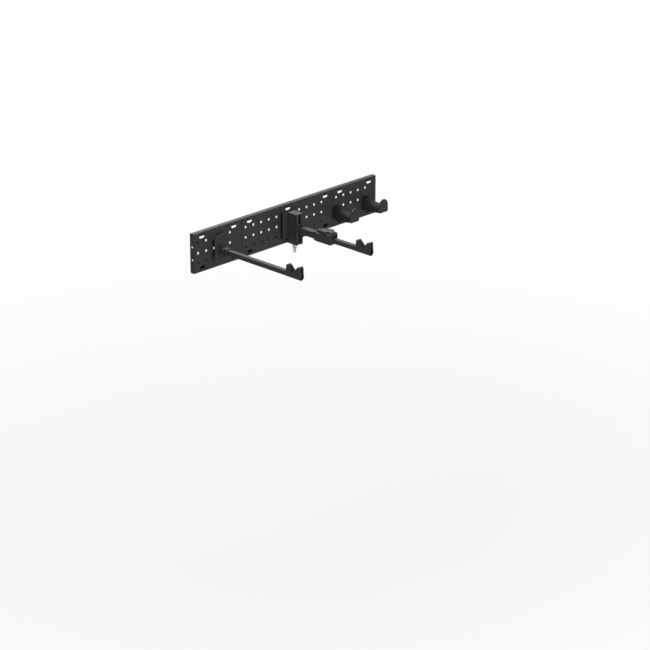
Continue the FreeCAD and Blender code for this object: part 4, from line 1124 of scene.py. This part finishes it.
class MOUNT_OT_hooks(bpy.types.Operator):
    """Shows the two drum hooks with their end plates and the screws behind the panel"""

    bl_idname = "mount.hooks"
    bl_label = "Drum hooks"

    def execute(self, context):
        for side in ("inner", "outer"):
            drum(side + "_hook_moulded_drum", side + "_hook_drum")
            drum_end_plate(side + "_hook_rimmed_plate", side + "_hook_end_plate")
            socket_screws(side + "_hook_screws")
        return {"FINISHED"}


# Stage

# Camera of the photograph, in metres and degrees
CAMERA_PLACE = (-6.0716, -6.1182, 3.0083)
CAMERA_AZIMUTH = math.radians(-45.76)
CAMERA_ELEVATION = math.radians(21.55)
CAMERA_LENS = 141.74
CAMERA_SENSOR = 36.0
CAMERA_FAR = 200.0

# Floor, in metres: it is lit near the mount, where the shadow falls, and plain white further off
FLOOR_DROP = 0.9
FLOOR_SIZE = 60.0
FLOOR_CELLS = 8
SHADOW_FROM, SHADOW_TO = 0.8, 2.6
WHITE_NEAR, WHITE_FAR = 0.86, 1.0

# Light that the surroundings give to dull surfaces
SURROUND = 0.05

# Lamps: their aim and size in metres, and each one's place in metres and power in watts
LAMP_AIM = Vector((0.0, -0.1, 0.0))
LAMP_SIZE = 1.6
LAMPS = {
    "overhead_softbox": ((0.5, 1.2, 2.2), 110.0),
    "front_softbox": ((-0.5, -3.3, 0.7), 31.0),
    "left_softbox": ((-3.0, -0.4, 0.9), 8.0),
}


def background_rays(tree):
    """One for the rays that show the background, whether straight, reflected or passed through."""
    path = add(tree, "ShaderNodeLightPath")
    seen = path.outputs["Is Camera Ray"]
    for kind in ("Is Glossy Ray", "Is Transmission Ray"):
        either = add(tree, "ShaderNodeMath", {"Value": seen, "Value_001": path.outputs[kind]},
                     operation="MAXIMUM")
        seen = either.outputs["Value"]
    return seen


class MOUNT_OT_stage(bpy.types.Operator):
    """Makes the studio: a pale floor, a white background, soft lamps and the camera"""

    bl_idname = "mount.stage"
    bl_label = "Studio"

    def execute(self, context):
        scene = context.scene
        scene.view_settings.view_transform = "Standard"
        self.make_world(scene)
        self.make_floor(scene)
        for name, settings in LAMPS.items():
            self.make_lamp(scene, name, *settings)
        self.make_camera(scene)
        return {"FINISHED"}

    def make_world(self, scene):
        world = bpy.data.worlds.new("studio")
        tree = cleared_tree(world)
        level = add(tree, "ShaderNodeMapRange",
                    {"Value": background_rays(tree), "To Min": SURROUND, "To Max": 1.0})
        sky = add(tree, "ShaderNodeBackground",
                  {"Color": linear("#ffffff"), "Strength": level.outputs["Result"]})
        add(tree, "ShaderNodeOutputWorld", {"Surface": sky.outputs["Background"]})
        scene.world = world

    def make_floor(self, scene):
        shape = bmesh.new()
        bmesh.ops.create_grid(shape, x_segments=FLOOR_CELLS, y_segments=FLOOR_CELLS,
                              size=FLOOR_SIZE / 2)
        mesh = bpy.data.meshes.new("floor")
        shape.to_mesh(mesh)
        shape.free()
        floor = bpy.data.objects.new("floor", mesh)
        floor.location.z = CAD_LOW.z - FLOOR_DROP
        scene.collection.objects.link(floor)
        material = bpy.data.materials.new("studio_floor")
        tree = cleared_tree(material)
        place = add(tree, "ShaderNodeTexCoord").outputs["Object"]
        away = add(tree, "ShaderNodeVectorMath", {"Vector": place}, operation="LENGTH")
        white = add(tree, "ShaderNodeMapRange",
                    {"Value": away.outputs["Value"], "From Min": SHADOW_FROM, "From Max": SHADOW_TO,
                     "To Min": WHITE_NEAR, "To Max": WHITE_FAR})
        share = add(tree, "ShaderNodeMapRange",
                    {"Value": background_rays(tree), "To Min": 0.0,
                     "To Max": white.outputs["Result"]})
        pale = add(tree, "ShaderNodeBsdfDiffuse", {"Color": scene.mount_colours.floor})
        plain = add(tree, "ShaderNodeEmission", {"Color": linear("#ffffff"), "Strength": 1.0})
        both = add(tree, "ShaderNodeMixShader",
                   {"Fac": share.outputs["Result"], "Shader": pale.outputs["BSDF"],
                    "Shader_001": plain.outputs["Emission"]})
        add(tree, "ShaderNodeOutputMaterial", {"Surface": both.outputs["Shader"]})
        mesh.materials.append(material)

    def make_lamp(self, scene, name, place, power):
        lamp = bpy.data.lights.new(name, "AREA")
        lamp.shape = "DISK"
        lamp.size = LAMP_SIZE
        lamp.energy = power
        holder = bpy.data.objects.new(name, lamp)
        holder.location = place
        facing = LAMP_AIM - Vector(place)
        holder.rotation_euler = facing.to_track_quat("-Z", "Y").to_euler()
        holder.visible_camera = False
        scene.collection.objects.link(holder)

    def make_camera(self, scene):
        lens = bpy.data.cameras.new("photo_camera")
        lens.sensor_width = CAMERA_SENSOR
        lens.lens = CAMERA_LENS
        lens.clip_end = CAMERA_FAR
        camera = bpy.data.objects.new("photo_camera", lens)
        level = math.cos(CAMERA_ELEVATION)
        back = Vector((math.sin(CAMERA_AZIMUTH) * level, -math.cos(CAMERA_AZIMUTH) * level,
                       math.sin(CAMERA_ELEVATION)))
        camera.location = CAMERA_PLACE
        camera.rotation_euler = (-back).to_track_quat("-Z", "Y").to_euler()
        scene.collection.objects.link(camera)
        scene.camera = camera


OPERATORS = (MOUNT_OT_materials, MOUNT_OT_panels, MOUNT_OT_base_plates, MOUNT_OT_left_arm,
             MOUNT_OT_cradles, MOUNT_OT_guide, MOUNT_OT_spindle, MOUNT_OT_carriage, MOUNT_OT_lock,
             MOUNT_OT_sliding_bar, MOUNT_OT_hooks, MOUNT_OT_stage)


class MOUNT_PT_sidebar(bpy.types.Panel):
    """Lists the mount's pieces, sizes and colours"""

    bl_idname = "MOUNT_PT_sidebar"
    bl_label = "Wall mount"
    bl_space_type = "VIEW_3D"
    bl_region_type = "UI"
    bl_category = "Wall mount"

    def draw(self, context):
        column = self.layout.column()
        for operator in OPERATORS:
            column.operator(operator.bl_idname)
        for group in (context.scene.mount_sizes, context.scene.mount_colours):
            for name in group.__annotations__:
                column.prop(group, name)


CLASSES = (MountDetailSizes, MountFinishColours) + OPERATORS + (MOUNT_PT_sidebar,)


def register():
    for each in CLASSES:
        bpy.utils.register_class(each)
    bpy.types.Scene.mount_sizes = PointerProperty(type=MountDetailSizes)
    bpy.types.Scene.mount_colours = PointerProperty(type=MountFinishColours)


def unregister():
    del bpy.types.Scene.mount_colours
    del bpy.types.Scene.mount_sizes
    for each in reversed(CLASSES):
        bpy.utils.unregister_class(each)


def main():
    register()
    bpy.ops.mount.materials()
    bpy.ops.mount.panels()
    bpy.ops.mount.base_plates()
    bpy.ops.mount.left_arm()
    bpy.ops.mount.cradles()
    bpy.ops.mount.guide()
    bpy.ops.mount.spindle()
    bpy.ops.mount.carriage()
    bpy.ops.mount.lock()
    bpy.ops.mount.sliding_bar()
    bpy.ops.mount.hooks()
    bpy.ops.mount.stage()


if __name__ == "__main__":
    main()
